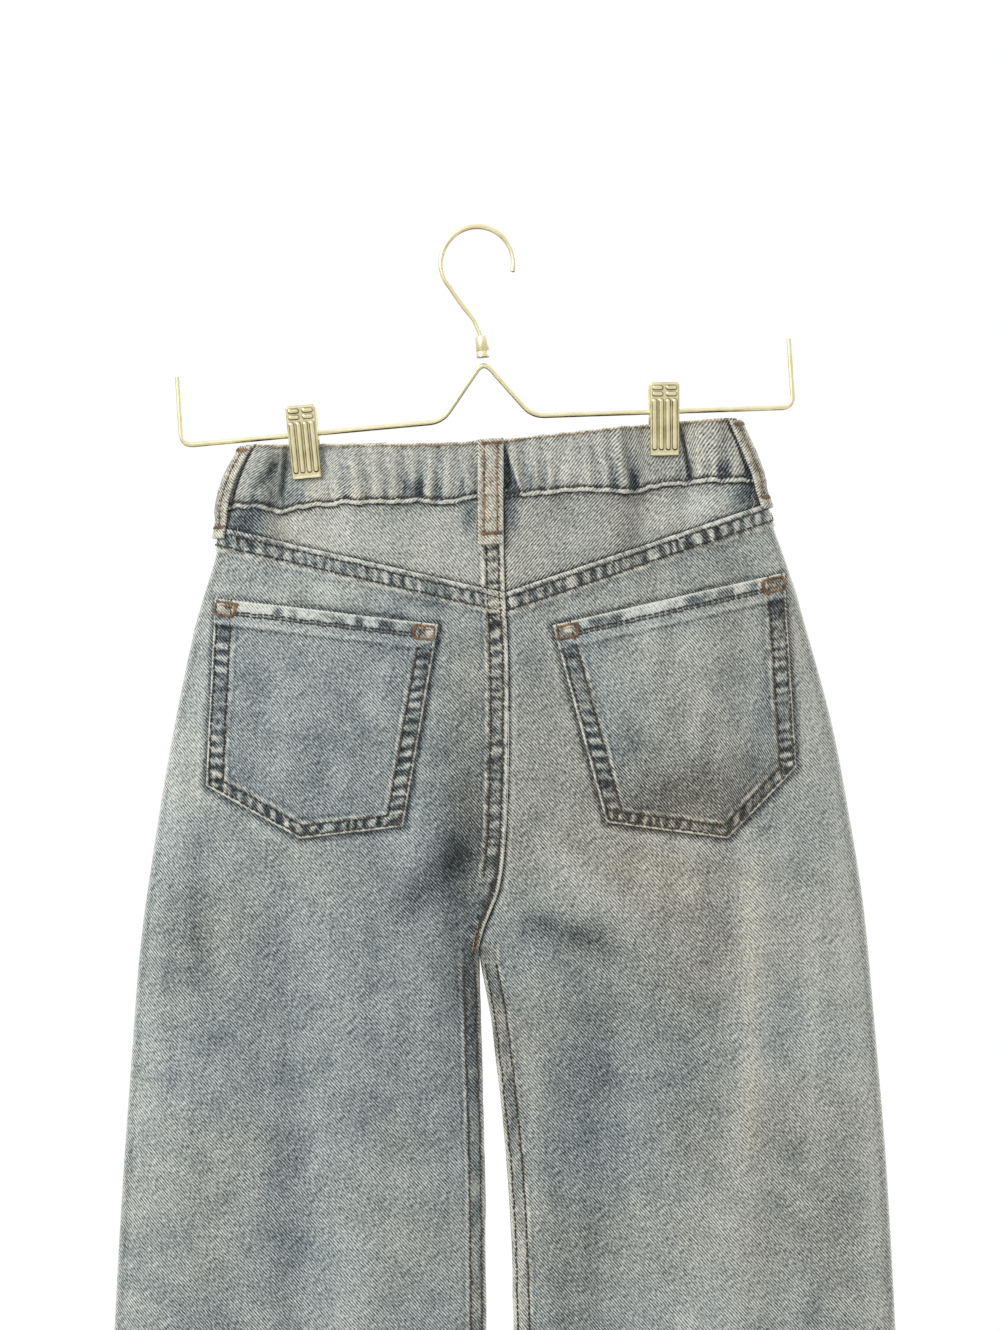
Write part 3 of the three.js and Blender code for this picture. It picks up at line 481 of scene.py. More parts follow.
def buildStudio():
    scene = bpy.context.scene
    camera = bpy.data.cameras.new("camera")
    camera.sensor_fit, camera.sensor_width = "HORIZONTAL", 36
    camera.lens = 36 * studio["distance"] / studio["frameWidth"]
    eye = bpy.data.objects.new("camera", camera)
    eye.location = Vector(studio["middle"]) + Vector((0, studio["distance"], 0))
    eye.rotation_euler = (np.pi / 2, 0, np.pi)
    scene.collection.objects.link(eye)
    scene.camera = eye
    scene.world = bpy.data.worlds.new("studio")
    scene.world.use_nodes = True
    tree = scene.world.node_tree
    seen = newNode(tree, "LightPath").outputs["Is Camera Ray"]
    toward = newNode(tree, "SeparateXYZ", {0: newNode(tree, "TexCoord").outputs["Generated"]}).outputs["Z"]
    above = calculate(tree, "MULTIPLY_ADD", toward, studio["above"], studio["sky"])
    strength = newNode(tree, "Mix", {0: seen, 2: above, 3: studio["backdrop"]}).outputs[0]
    plug(tree, tree.nodes["Background"], {"Color": (1, 1, 1, 1), "Strength": strength})
    scene.view_settings.view_transform = "Standard"
    for name in ("key", "back"):
        place, aim, size, power = studio[name]
        light = bpy.data.lights.new(name, "AREA")
        light.shape, light.size, light.energy = "DISK", size, power
        lamp = bpy.data.objects.new(name, light)
        lamp.location = place
        lamp.rotation_euler = (Vector(aim) - Vector(place)).to_track_quat("-Z", "Y").to_euler()
        scene.collection.objects.link(lamp)
    corners = np.array([[-1, -1, 0], [1, -1, 0], [1, 1, 0], [-1, 1, 0]]) * studio["floorHalf"]
    floor = makeMesh("floor", corners + (0, 0, studio["floor"]), [[0, 1, 2, 3]])
    material, tree, shader = newMaterial("paleFloor")
    specks = grain(tree, newNode(tree, "TexCoord").outputs["Object"], 30.0, 4.0)
    shade = ramp(tree, specks, [(0.3, (0.74, 0.73, 0.71, 1)), (0.7, (0.8, 0.79, 0.77, 1))])
    plug(tree, shader, {"Base Color": shade, "Roughness": 0.7})
    floor.data.materials.append(material)


buildStudio()
print("studio made")


patches = {  # soft places of more or less wear, from behind and in front: unfaded dark spots beside the loops, painted shade down the fold below the left pocket, and a painted highlight along the left leg's side
    "face": [1] * 26 + [-1] * 4,
    "x":    [-116, 128, 114, 104, 137, 20, 182, -95, -135, -60, -176, 27, 142, -133, 19,
             -4, 85, -90, 120, -110, -100, 176, 90, 118, -85, 17, 90, -90, 150, -150],
    "z":    [-39, -13, -24, -22, -33, -150, -210, -290, -330, -365, -300, -232, -39, -37, -41,
             -41, -330, -160, -130, -120, -198, -262, -76, -56, -240, -205, -300, -300, -160, -170],
    "wide": [16, 9, 5, 6, 6, 16, 18, 55, 7, 70, 24, 11, 12, 8, 4.5,
             4, 55, 50, 40, 50, 48, 18, 45, 30, 40, 13, 50, 50, 30, 30],
    "high": [9, 13, 6, 6, 8, 55, 190, 70, 80, 40, 110, 50, 10, 7, 10,
             9, 70, 40, 30, 30, 20, 60, 10, 8, 25, 60, 160, 160, 60, 60],
    "wornAndShaded": [.09, -.13, -.12, .1, -.2, -.05, .12, -.02, .13, -.03, .14, -.12, -.4, -.42, -.34,
             -.3, -.02, 0, .03, .04, -.25, -.2, .13, .15, .02, -.13, .12, .12, -.06, -.06],
    "warm": [-.2, -.2, -.5, .25, -.4, .1, -.05, .22, .3, -.2, .1, .05, -.5, -.5, -.4,
             -.4, -.1, .25, -.1, .15, .3, 0, .1, .1, .35, .25, .1, .1, 0, 0],
}


def wearAndShade(face, x, z, seed, wornAndShaded=0.5, warm=0.25):
    # mottling and long streaks of noise, and the patches' soft round spots, some of them painted shade and
    # light;
    # the troughs of creases and folds are painted darker as shade and their ridges paler as light, which also
    # stands for the ridges' rubbing
    crease = creaseHeight(face, x, z)
    wornAndShaded = wornAndShaded + 0.17 * np.minimum(crease, 0) + 0.05 * np.maximum(crease, 0) + 0.034 * foldHeight(face, x, z)
    for amount, size, more in ((0.036, 60, 0), (0.02, 17, 1), (0.03, 5.5, 2)):
        wornAndShaded = wornAndShaded + amount * noise(x, z, size, seed + more)
    wornAndShaded = wornAndShaded + 0.04 * noise(x, 0.1 * z, 8, seed + 3) + 0.03 * noise(x, 0.07 * z, 26, seed + 6)
    warm = warm + 0.18 * noise(x, z, 55, seed + 4) + 0.1 * noise(x, z, 20, seed + 5)
    for f, px, pz, wide, high, wornAndShadedMore, warmMore in zip(*patches.values()):
        if f == face:
            spot = bump(x - px, wide) * bump(z - pz, high)
            wornAndShaded, warm = wornAndShaded + wornAndShadedMore * spot, warm + warmMore * spot
    return wornAndShaded, warm


def unevenness(face, x, z):
    # creases and slight waves that every layer of the cloth shares, calm towards the side folds
    calm = smooth(0, 14, outerEdge(np.sign(x), z) - abs(x))
    waves = 0.45 * noise(x, z, 34, 60 + face) + 0.16 * noise(x, z, 12, 63 + face)
    return creaseHeight(face, x, z) + waves * calm


bandSteps = np.array([0, .3, .7, 1.2, 1.9, 2.6, 3.3, 4.1, 4.9, 5.7, 6.5, 7.3, 8.1, 8.9, 9.7, 10.4, 11.1,
                      11.8, 12.5, 13.3, 14.5])


def seamBand(d, s, seed, rows=(3.3, 10.0), width=11.6, rise=1.1, pucker=1.0):
    # d runs from the folded edge and s along it: a rounded edge, a dent at each row of stitches,
    # blocks drawn up between the rows, and a step down where the folded cloth ends
    phase = 2 * np.pi * (s / 6.3 + 0.02 * d) + 2.8 * noise(s, 0 * s, 11, seed)
    block = np.tanh(2.4 * np.sin(phase + 0.6 * noise(s, d, 3, seed + 4)))
    block = block * (0.6 + 0.55 * noise(s, 0.5 * d, 14, seed + 1)).clip(0.08, 1)
    inside = smooth(rows[0] - 0.6, rows[0] + 0.9, d) * (1 - smooth(rows[1] - 0.9, rows[1] + 0.6, d))
    flat = 1 - smooth(width, width + 1.2, d)
    dents = (bump(d - rows[0], 0.75) + bump(d - rows[1], 0.75)) * (0.75 + 0.25 * np.sin(2 * np.pi * s / 3.1))
    ripple = 0.12 * noise(s, d, 2.4, seed + 2)
    height = flat * (rise * roundEdge(d, 0.9) - 0.3 * dents + pucker * 0.3 * block * inside + ripple)
    speck, broken = noise(s, d, 1.9, seed + 3), noise(s, 0 * s, 6.5, seed + 5)
    rope = 0.28 + 0.16 * broken + 0.14 * speck + 0.09 * np.sin(2 * np.pi * (s + d) / 2.1)
    blocks = pucker * mix(0.5, 0.32, block > 0) * block * inside
    # the dents are painted darker as shade
    wornAndShaded = flat * (rope * bump(d - 0.8, 0.95) + blocks - 0.09 * inside - 0.2 * dents
                   + 0.22 * speck * (1 - 0.25 * inside))
    wornAndShaded = wornAndShaded + (0.16 + 0.12 * broken + 0.16 * speck) * bump(d - width - 0.5, 0.75)
    # painted shadow just past the step down where the folded cloth ends
    return height, wornAndShaded - 0.12 * bump(d - width - 2.2, 0.9), flat * (0.28 - 0.25 * inside * (block < 0))


stitchRows = {"seam": [], "rust": [], "tan": []}
stitchArch = {"at": np.array([-0.5, -0.28, 0.28, 0.5]), "up": np.array([-0.12, 0.2, 0.2, -0.12])}


def addStitches(colourName, face, share, z, height, radius):
    # the stitches' points over the cloth, and the way out of it at each
    points = clothPoint(face, share, z, height)
    away = clothPoint(face, share, z, height + 1) - points
    stitchRows[colourName].append((points, away, np.full(len(points), radius)))


def sew(colourName, face, x, z, lift, pitch=3.2, length=2.6, radius=0.5, jitter=0.28, seed=5):
    # stitches at even steps along a path, each a short arch that dips into the cloth
    total = lengthAlong(np.stack([x, z], axis=1))
    count = int(total[-1] / pitch)
    random = np.random.RandomState(seed + count)
    places = (np.arange(count)[:, None] + 0.5) * total[-1] / count + length * stitchArch["at"]
    off = random.uniform(-jitter, jitter, (count, 2, 1))
    x, z = np.interp(places, total, x) + off[:, 0], np.interp(places, total, z) + off[:, 1]
    addStitches(colourName, face, shareAt(x, z), z, lift(x, z) + stitchArch["up"], radius)


def zigzag(colourName, face, start, end, lift, width, pitch=0.85, radius=0.33):
    # a bar tack: close slanted stitches set across a line
    reach = np.linalg.norm(end - start)
    along = (end - start) / reach
    across = np.array([-along[1], along[0]]) + 0.35 * along
    count = int(reach / pitch)
    steps = (np.arange(count)[:, None] + 0.5) * pitch
    random = np.random.RandomState(count)
    spread = width * random.uniform(0.75, 1.2, (count, 1)) * np.array([-0.5, -0.25, 0.25, 0.5])
    spread = spread + random.uniform(-0.2, 0.2, (count, 1))
    x, z = (start[k] + along[k] * steps + across[k] * spread for k in (0, 1))
    addStitches(colourName, face, shareAt(x, z), z, lift(x, z) + np.array([-0.08, 0.28, 0.28, -0.08]), radius)


def threadPiece(name, colourName, material, slot):
    # every stitch is a tube of four rings of six points, thinner at its ends, with two caps
    points, away, radius = (np.concatenate(part) for part in zip(*stitchRows[colourName]))
    unit = lambda v: v / np.linalg.norm(v, axis=-1, keepdims=True)
    along = unit(np.gradient(points, axis=1))
    beside = unit(np.cross(along, away))
    up = np.cross(beside, along)
    turn = np.arange(6) * np.pi / 3
    thick = radius[:, None, None, None] * np.array([0.55, 1, 1, 0.55])[:, None, None]
    ring = np.cos(turn)[:, None] * beside[:, :, None] + 0.85 * np.sin(turn)[:, None] * up[:, :, None]
    vertices = hang(points[:, :, None] + thick * ring)
    one, starts = tubeFaces(4, 6), np.arange(len(points))[:, None, None] * 24
    sides, caps = ((np.array(part) + starts).reshape(-1, len(part[0])).tolist()
                   for part in (one[:-2], one[-2:]))
    dress(makeMesh(name, vertices, sides + caps, 80), material, slot)


def seamColumns(side, z):
    # the first columns keep their distances from the seam, and the rest share out what is left
    count = panelLook["columns"]
    distance = np.concatenate([bandSteps, np.full(count, bandSteps[-1])])
    onward = np.concatenate([0 * bandSteps, np.arange(1, count + 1) / count])
    width = outerEdge(side, z) - innerEdge(side, z)
    return np.maximum(mix(np.arccos(1 - 2 * distance / width) / np.pi, 1, onward), 1e-9)


backPockets = {
    "back_pocket_left": {
        "innerTop": (35.6, -99.1), "outerTop": (157.6, -78.1), "innerBottom": (54.7, -207.9),
        "point": (110.7, -211.5), "outerBottom": (162.4, -180.1), "wornAndShaded": 0.45, "warm": 0.06, "seed": 71,
    },
    "back_pocket_right": {
        "innerTop": (-26.6, -102.9), "outerTop": (-152.8, -81.1), "innerBottom": (-55.6, -211.7),
        "point": (-121.6, -224), "outerBottom": (-159.3, -187.4), "wornAndShaded": 0.485, "warm": 0.12, "seed": 81,
    },
}


def pocketOutline(corners):
    order = ("innerTop", "innerBottom", "point", "outerBottom", "outerTop")
    return np.array([corners[key] for key in order], float)


def edgeLines(outline):
    # each edge of a closed convex outline: its start, its direction and its normal, which points in
    along = np.roll(outline, -1, axis=0) - outline
    along /= np.linalg.norm(along, axis=1)[:, None]
    normal = np.stack([along[:, 1], -along[:, 0]], axis=1)
    normal *= np.sign(((outline.mean(axis=0) - outline) * normal).sum(axis=1))[:, None]
    return list(zip(outline, along, normal))


def insideDistances(outline, x, z):
    return [(x - a[0]) * normal[0] + (z - a[1]) * normal[1] for a, _, normal in edgeLines(outline)]


def seamAngle(z):
    # how the centre seam's slope shortens a distance measured straight across
    slope = (readTable(seams, "left", z + 1) - readTable(seams, "left", z - 1)) / 2
    return 1 / np.sqrt(1 + slope**2)


panelLook = {
    "columns": 92, "seatRows": 62, "forkRows": 20, "legRows": 108,
    "hemSteps": [14.6, 13.9, 13.3, 12.7, 12.1, 11.2, 10.2, 9.2, 8, 6.6, 5.2, 3.8, 2.4, 1.3, 0.6, 0.25, 0],
    "centreRows": (3.2, 9.9), "inseamRows": (2.6, 8.6), "inseamRise": 0.55, "inseamPucker": 0.55,
    "hemRows": (0.9, 10.2), "hemWidth": 12.6, "hemPucker": 0.9,
    "fork": -281,  # the height where the centre seam ends and the inseams start
}


def panelSurface(face, side, x, z, topDistance, seed):
    # the lift and wear of one leg panel over its own face: its top, centre, inseam, hem and side in turn
    look, back, fork = panelLook, face > 0, panelLook["fork"]
    sideGap = outerEdge(side, z) - side * x
    seamGap = (side * x - innerEdge(side, z)) * seamAngle(z)
    above = z > -garment["crotch"]
    height, wornAndShaded, warm = seamBand(topDistance, x, seed + 8)
    if not back:  # only the pocket's mouth has a folded edge
        mouth = smooth(0, 0.15, scoopShare(x))
        height = height * mouth * mix(0.2, 1, smooth(0, 13, sideGap))
        # away from the pocket's mouth, painted shadow along the top edge where it meets the waistband
        wornAndShaded, warm = wornAndShaded * mouth - 0.3 * (1 - mouth) * bump(topDistance, 1.2), warm * mouth
    elif side > 0:  # the lapped centre seam, whose folded edge rolls over towards the fork
        kept = smooth(fork, fork + 13, z)
        h, w, m = seamBand(seamGap, z, seed + 20, rows=look["centreRows"])
        faded = mix(1, smooth(-262, -222, z), smooth(4.5, 7, seamGap))
        piping = smooth(-205, -228, z) * smooth(fork, fork + 7, z)
        h = h * faded + 0.7 * piping * bump(seamGap - 1.0, 1.1)
        w = w * faded + piping * (0.34 * bump(seamGap - 0.9, 0.95) - 0.26 * bump(seamGap - 3.4, 1.7))
        crossing = (topDistance < 12) & (seamGap < 11.5)
        height = np.where(crossing, 1.1 + 0.35 * h, np.maximum(height, h * kept))
        wornAndShaded = np.where(crossing, 0.17 + 0.3 * w, wornAndShaded + w * kept)
        warm = np.where(crossing, 0.5, warm + m * faded * kept)
    else:
        # painted shadow beside the lapped centre seam's folded edge
        wornAndShaded = wornAndShaded - 0.36 * bump(seamGap, 1.1) * above + 0.1 * bump(seamGap - 2.6, 1.4)
    low = 1 - smooth(fork, fork + 9, z)
    if back:
        h, w, m = seamBand(seamGap, z, seed + 33, look["inseamRows"], 9.6, look["inseamRise"],
                           look["inseamPucker"])
        height, wornAndShaded, warm = height + low * h, wornAndShaded + 0.7 * low * w, warm + low * m
    else:
        wornAndShaded = wornAndShaded + low * (0.2 * bump(seamGap - 1, 1.3) - 0.16 * bump(seamGap - 3.4, 1.2))
        wornAndShaded = wornAndShaded + above * (0.16 * bump(seamGap - 1.4, 1.3) - 0.3 * bump(seamGap, 0.8))
        wornAndShaded = wornAndShaded + 0.1 * bump(abs(x) - 90, 45) * smooth(-620, -260, z)
    hem = z + garment["length"]
    h, w, m = seamBand(hem, x, seed + 41, look["hemRows"], look["hemWidth"], garment["hemRise"],
                       look["hemPucker"])
    low = hem < 15.5
    height = np.where(low, np.maximum(height, h), height)
    wornAndShaded, warm = wornAndShaded + low * w, warm + low * m
    # painted sheen: lighter towards the side fold
    wornAndShaded = wornAndShaded + (0.07 if side > 0 else 0.17) * (1 - smooth(0, 26, sideGap))
    wornAndShaded = wornAndShaded + 0.16 * bump(sideGap, 1.2) - 0.1 * bump(sideGap - 3.5, 1.6)
    for corners in backPockets.values() if back else ():  # painted shadow beside a pocket, rubbed a little further out
        outside = -np.min(insideDistances(pocketOutline(corners), x, z), axis=0)
        wornAndShaded = wornAndShaded - 0.34 * bump(outside - 0.9, 1.5) * (outside > -2)
        wornAndShaded = wornAndShaded + 0.12 * bump(outside - 5, 2.5) * (0.5 + 0.5 * noise(x, z, 9, seed + 50))
    # the right half is tinted warmer as painted warm light from that side
    base = wearAndShade(face, x, z, seed, 0.5, 0.12 if side > 0 else 0.26)
    return unevenness(face, x, z), height, base[0] + wornAndShaded, base[1] + warm


def buildPanel(node, face, side, topEdge, turn, seed):
    # rows go down from the top edge: its folded band, the seat, closer ones at the fork, the leg, the hem
    look = panelLook
    top = heightOnEdge(face, side, topEdge, lambda z: seamColumns(side, z)) - garment["seamGap"] / 2
    topX = facePoint(face, side, seamColumns(side, top), top)[..., 0]
    slant = 1 + (steepness(topEdge, topX) - 1) * (smooth(0, 0.15, scoopShare(topX)) if face < 0 else 1)
    band = top - slant * bandSteps[:, None]
    steps = lambda key, first=0: np.arange(first, look[key])[:, None] / look[key]
    seat = mix(band[-1], garment["seatEnd"], steps("seatRows") + 1 / look["seatRows"])
    fork = mix(-garment["crotch"], garment["seatEnd"], steps("forkRows")[::-1] ** 2)
    leg = mix(-garment["crotch"], look["hemSteps"][0] - garment["length"], steps("legRows", 1))
    hem = np.array(look["hemSteps"])[:, None] - garment["length"]
    z = np.concatenate([band, seat] + [part + 0 * top for part in (fork, leg, hem)])
    share = seamColumns(side, z)
    x = facePoint(face, side, share, z)[..., 0]
    lift, height, wornAndShaded, warm = panelSurface(face, side, x, z, (top - z) / slant, seed)
    clothPiece(node, face, side * share, z, lift + height, lift - garment["cloth"], wornAndShaded, warm, turn)


def buildBetween(node, face, side, topEdge, bottomEdge, rows, seed, wornAndShaded, warm, turn, start=None):
    # a piece between two edges, from the centre, or from a place on the mouth, to the side seam
    first, half = (len(bandSteps) + start if start else 0), garment["seamGap"] / 2
    columns = lambda z: seamColumns(side, z)
    top, bottom = (heightOnEdge(face, side, edge, columns)[first:] for edge in (topEdge, bottomEdge))
    top, bottom = top - half + (0 if start else 3.5), bottom + half + (0.45 if start else 0)
    if start:
        bottom = np.minimum(bottom, top - 0.4)
    v = np.linspace(0, 1, rows)[:, None] ** 0.85
    z = mix(top, bottom, 1 - (1 - v) ** 1.15)
    share = columns(np.concatenate([np.repeat(z[:, :1], first, axis=1), z], axis=1))[:, first:]
    x = facePoint(face, side, share, z)[..., 0]
    wornAndShaded, warm = wearAndShade(face, x, z, seed, wornAndShaded, warm)
    lift = unevenness(face, x, z)
    seamGap = (side * x - innerEdge(side, z)) * seamAngle(z)
    height = 0 * lift
    if not start:
        height = -0.2 * smooth(0.5, 3.2, z - topEdge(x))  # the top runs in under the waistband
        if side > 0:
            h, w, m = seamBand(seamGap, z, seed + 20, rows=(3.4, 10.3))
            height, wornAndShaded, warm = height + h, wornAndShaded + w, warm + m
        else:
            # painted shadow beside the lapped centre seam's folded edge
            wornAndShaded = wornAndShaded - 0.36 * bump(seamGap, 1.0)
    # painted shadow along the bottom edge, under the folded edge that laps over it, and along the top, under
    # the waistband's edge
    gap = (z - bottomEdge(x)) / steepness(bottomEdge, x)
    wornAndShaded = wornAndShaded - 0.42 * bump(gap, 1.5) - 0.05 * bump(gap - 4, 3)
    topGap = topEdge(x) - (bandWave(x) if face > 0 else 0.8) - z
    wornAndShaded = wornAndShaded - 0.62 * bump(topGap - 0.3, 0.8) - 0.1 * bump(topGap - 2, 3)
    wornAndShaded = wornAndShaded + 0.12 * bump(outerEdge(side, z) - side * x, 2)
    clothPiece(node, face, side * share, z, lift + height, lift - garment["cloth"], wornAndShaded, warm, turn)


# the last numbers are the way the weave's slant turns and the noise's seed
buildPanel("back_left", 1, 1, yokeSeam, -1, 11)
buildPanel("back_right", 1, -1, yokeSeam, 1, 23)
buildPanel("front_left", -1, 1, scoopEdge, 1, 31)
buildPanel("front_right", -1, -1, scoopEdge, -1, 37)
print("leg panels made")
facingLook = {"rows": 30, "wornAndShaded": 0.42, "warm": 0.1, "start": 34}  # it starts at a column on the mouth
yokeRows = 44
buildBetween("yoke_left", 1, 1, bandBottom, yokeSeam, yokeRows, 41, 0.65, 0.36, -1)
buildBetween("yoke_right", 1, -1, bandBottom, yokeSeam, yokeRows, 47, 0.55, 0.42, -1)
buildBetween("pocket_facing_left", -1, 1, bandBottom, scoopEdge, seed=53, turn=1, **facingLook)
buildBetween("pocket_facing_right", -1, -1, bandBottom, scoopEdge, seed=59, turn=-1, **facingLook)
print("yokes and facings made")


def sidePlace(side):
    # distances round the side fold, negative towards the back and positive towards the front, are
    # turned into shares
    def place(t, z):
        fine = np.linspace(1, 0.72, 141)
        found = np.empty_like(z)
        for row, (across, height) in enumerate(zip(t, z[:, 0])):
            back, front = (np.interp(abs(across), lengthAlong(facePoint(face, side, fine, height)), fine)
                           for face in (1, -1))
            found[row] = np.where(across < 0, back, 2 - front)
        return side * found
    return place


bandLook = {
    "rows": [0, .25, .6, 1.0, 1.5, 2.1, 2.7, 3.3, 4.2, 5.3, 6.6, 8.2, 10, 12, 14],
    "pitch": 9.8, "wander": 1.1, "wanderLength": 27, "height": 1.25,  # the gathers
    "thick": 1.45, "ropeAt": 1.1, "stitchUp": 2.7, "stitchDown": 1.5, "frontMeet": -12,
    "backColumns": 561, "leftColumns": 130, "rightColumns": 120,
    "halfway": -15.0, "besideLoop": -7.7,  # the band's middle height, and the side loops' edge from the fold
}


def waistRipple(x, t):
    # gathers drawn up by the elastic, strongest low down, flat under the clips and at the sides
    look = bandLook
    phase = 2 * np.pi * x / look["pitch"] + look["wander"] * np.sin(x / look["wanderLength"])
    phase = phase + 1.5 * noise(x, 18 * t, 17, 90) + 0.5 * noise(x, 9 * t, 9, 91)
    strength = (0.62 + 0.38 * noise(x, 8 * t, 21, 92)) * (1.15 - 0.55 * t)
    return np.sin(phase) * strength * smooth(10, 17, fromClip(x)) * (1 - smooth(124, 136, abs(x)))


def buildBand(node, face, first, last, columns, seed, wornAndShaded, warm):
    # rows lie close to the bottom edge and to the top edge; the bottom edge is a twisted rope
    look, gathered = bandLook, face > 0
    shares = np.linspace(first, last, bandLook[columns])
    shares = np.where(abs(shares) < 1e-9, 1e-9, shares)  # a share's sign says its side
    side, size = np.sign(shares), abs(shares)
    low = np.array(look["rows"])
    rows = np.concatenate([low, -low[::-1]])[:, None]
    bottom, top = (heightOnEdge(face, side, edge, lambda z: size) for edge in (bandBottom, bandTop))
    bottomX = facePoint(face, side, size, bottom)[..., 0]
    wave = bandWave(bottomX) if gathered else 0.8
    bottom = bottom - wave
    top = top + 0.6 * (0.5 * noise(bottomX, 0 * bottomX, 6, 95) + 0.35) * (1 if gathered else 0.3)
    z = np.where(np.arange(len(rows))[:, None] < len(low), bottom, top) + rows
    x = facePoint(face, side, size, z)[..., 0]
    up, down = z - bottom, top - z
    t = np.clip(up / 30, 0, 1)
    ripple = waistRipple(x, t) if gathered else 0.12 * noise(x, z, 16, seed)
    edge = roundEdge(np.minimum(up, down), 1.2)
    dash = 0.8 + 0.2 * np.sin(2 * np.pi * x / 3)
    dents = (0.34 * bump(up - look["stitchUp"], 0.75) + 0.25 * bump(down - look["stitchDown"], 0.7)) * dash
    twist = np.sin(2 * np.pi * (x + 0.8 * up) / 2.3 + 1.5 * noise(x, 0 * x, 5, seed + 7))
    twist = twist * bump(up - look["ropeAt"], 1.2)
    lift = creaseHeight(face, x, z) + 0.15 * noise(x, z, 9, seed + 2)
    swell = look["thick"] * mix(0.45, 1, edge) + 0.35 * bump(up - look["ropeAt"], 1.0) - dents
    out = lift + swell + (0.42 if gathered else 0.1) * twist + look["height"] * ripple * mix(0.6, 1, edge)
    # painted light on the gathers' ridges and painted shade in their valleys, a pale rope, blue left in
    # blotches low down, and painted shade in the stitch dents
    valley = (1.1 - 0.75 * t) if gathered else 0.3
    blotch = smooth(-0.1, 0.5, noise(x, 3 * t, 3.8, seed + 5))
    blotch = blotch * smooth(0, 0.5, noise(x, 0 * x, 15, seed + 6) + 0.5)
    more = 0.2 * ripple * valley - (0.42 if gathered else 0) * blotch * bump(t - 0.24, 0.2)
    more = more + 0.4 * bump(up - 0.9, 1.15) + 0.13 * twist - 0.38 * bump(up - look["stitchUp"] - 0.5, 0.95)
    more = more + 0.12 * noise(x, z, 2.2, seed + 3) * bump(up - 1, 2)
    more = more - 0.14 * bump(down - look["stitchDown"] - 0.4, 1.1) * (1 + noise(x, z, 2.6, seed + 9))
    more = more + 0.26 * bump(down - 0.3, 0.7)
    warmer = 0.15 * ripple * valley + 0.6 * bump(down, 2.4) - 0.5 * blotch * bump(t - 0.24, 0.25)
    # the side loops stand off the band, and a painted shadow darkens the band beside them
    loopShare = sidePlace(1)(np.array([[look["besideLoop"]]]), np.array([[look["halfway"]]]))[0, 0]
    loopEdge = facePoint(face, np.sign(x), loopShare, z)[..., 0]
    more = more - 0.8 * bump(abs(x) - abs(loopEdge) + 0.1, 0.6)
    if gathered:
        # a tuck beside the centre loop: a sunk wedge painted dark as shade, with a light fold along its far
        # edge
        reach = mix(0.6, -9.2, np.clip(-z / 29, 0, 1))
        tuck = smooth(-0.5, 0.9, x - reach) * (1 - smooth(0.6, 2, x)) * smooth(-1.5, -5, z)
        out = out - 1.35 * tuck + 0.45 * bump(x - reach + 1.0, 1.1) * smooth(-1, -5, z)
        more = more * (1 - tuck) - 0.36 * tuck + 0.14 * bump(x - reach + 1.1, 0.9) * smooth(-2, -6, z)
        warmer = warmer - 0.6 * tuck
    wornAndShaded, warm = wearAndShade(face, x, z, seed, wornAndShaded, warm)
    # below the yoke's top edge the inside lies on the yoke
    inn = lift + mix(0.3, -garment["bandIn"], smooth(wave - 0.9, wave + 0.1, up))
    clothPiece(node, face, shares, z, out, inn, wornAndShaded + more, warm + warmer, oneRow=len(low))


leftEnd, rightEnd = (float(shareAt(bandLook["frontMeet"] + gap / 2, bandLook["halfway"]))
                     for gap in (garment["seamGap"], -garment["seamGap"]))
buildBand("waistband_back", 1, -1, 1, "backColumns", 101, 0.6, 0.55)
buildBand("waistband_front_left", -1, leftEnd, 1, "leftColumns", 107, 0.55, 0.35)
buildBand("waistband_front_right", -1, -1, rightEnd, "rightColumns", 109, 0.55, 0.35)
print("waistband made")


pocketLook = {
    "lift": 0.6, "thickness": 1.5, "hemHeight": 13.5, "hemRise": 0.7, "hemStitch": 7.2, "dome": 0.35,
    "edgeSteps": np.array([0, .3, .7, 1.2, 1.8, 2.5, 3.3, 4.1, 4.9, 5.7, 6.5, 7.3, 8.1, 8.9, 9.6, 10.3, 11,
                           12]),
    "sideRows": (1.7, 9.3), "sideWidth": 10.8, "bottomRows": (1.7, 6.8), "bottomWidth": 8.2,
    "columns": 62, "rows": 50, "ridgeSteps": [13, 13.7, 14.4, 15.3],  # besides the close ones at the edges
    "boxNear": (1.6, 1.8), "boxFar": (12.6, 8.8), "boxWidths": (1.3, 2.4, 1.7, 1.4),  # tacks at a top corner
}


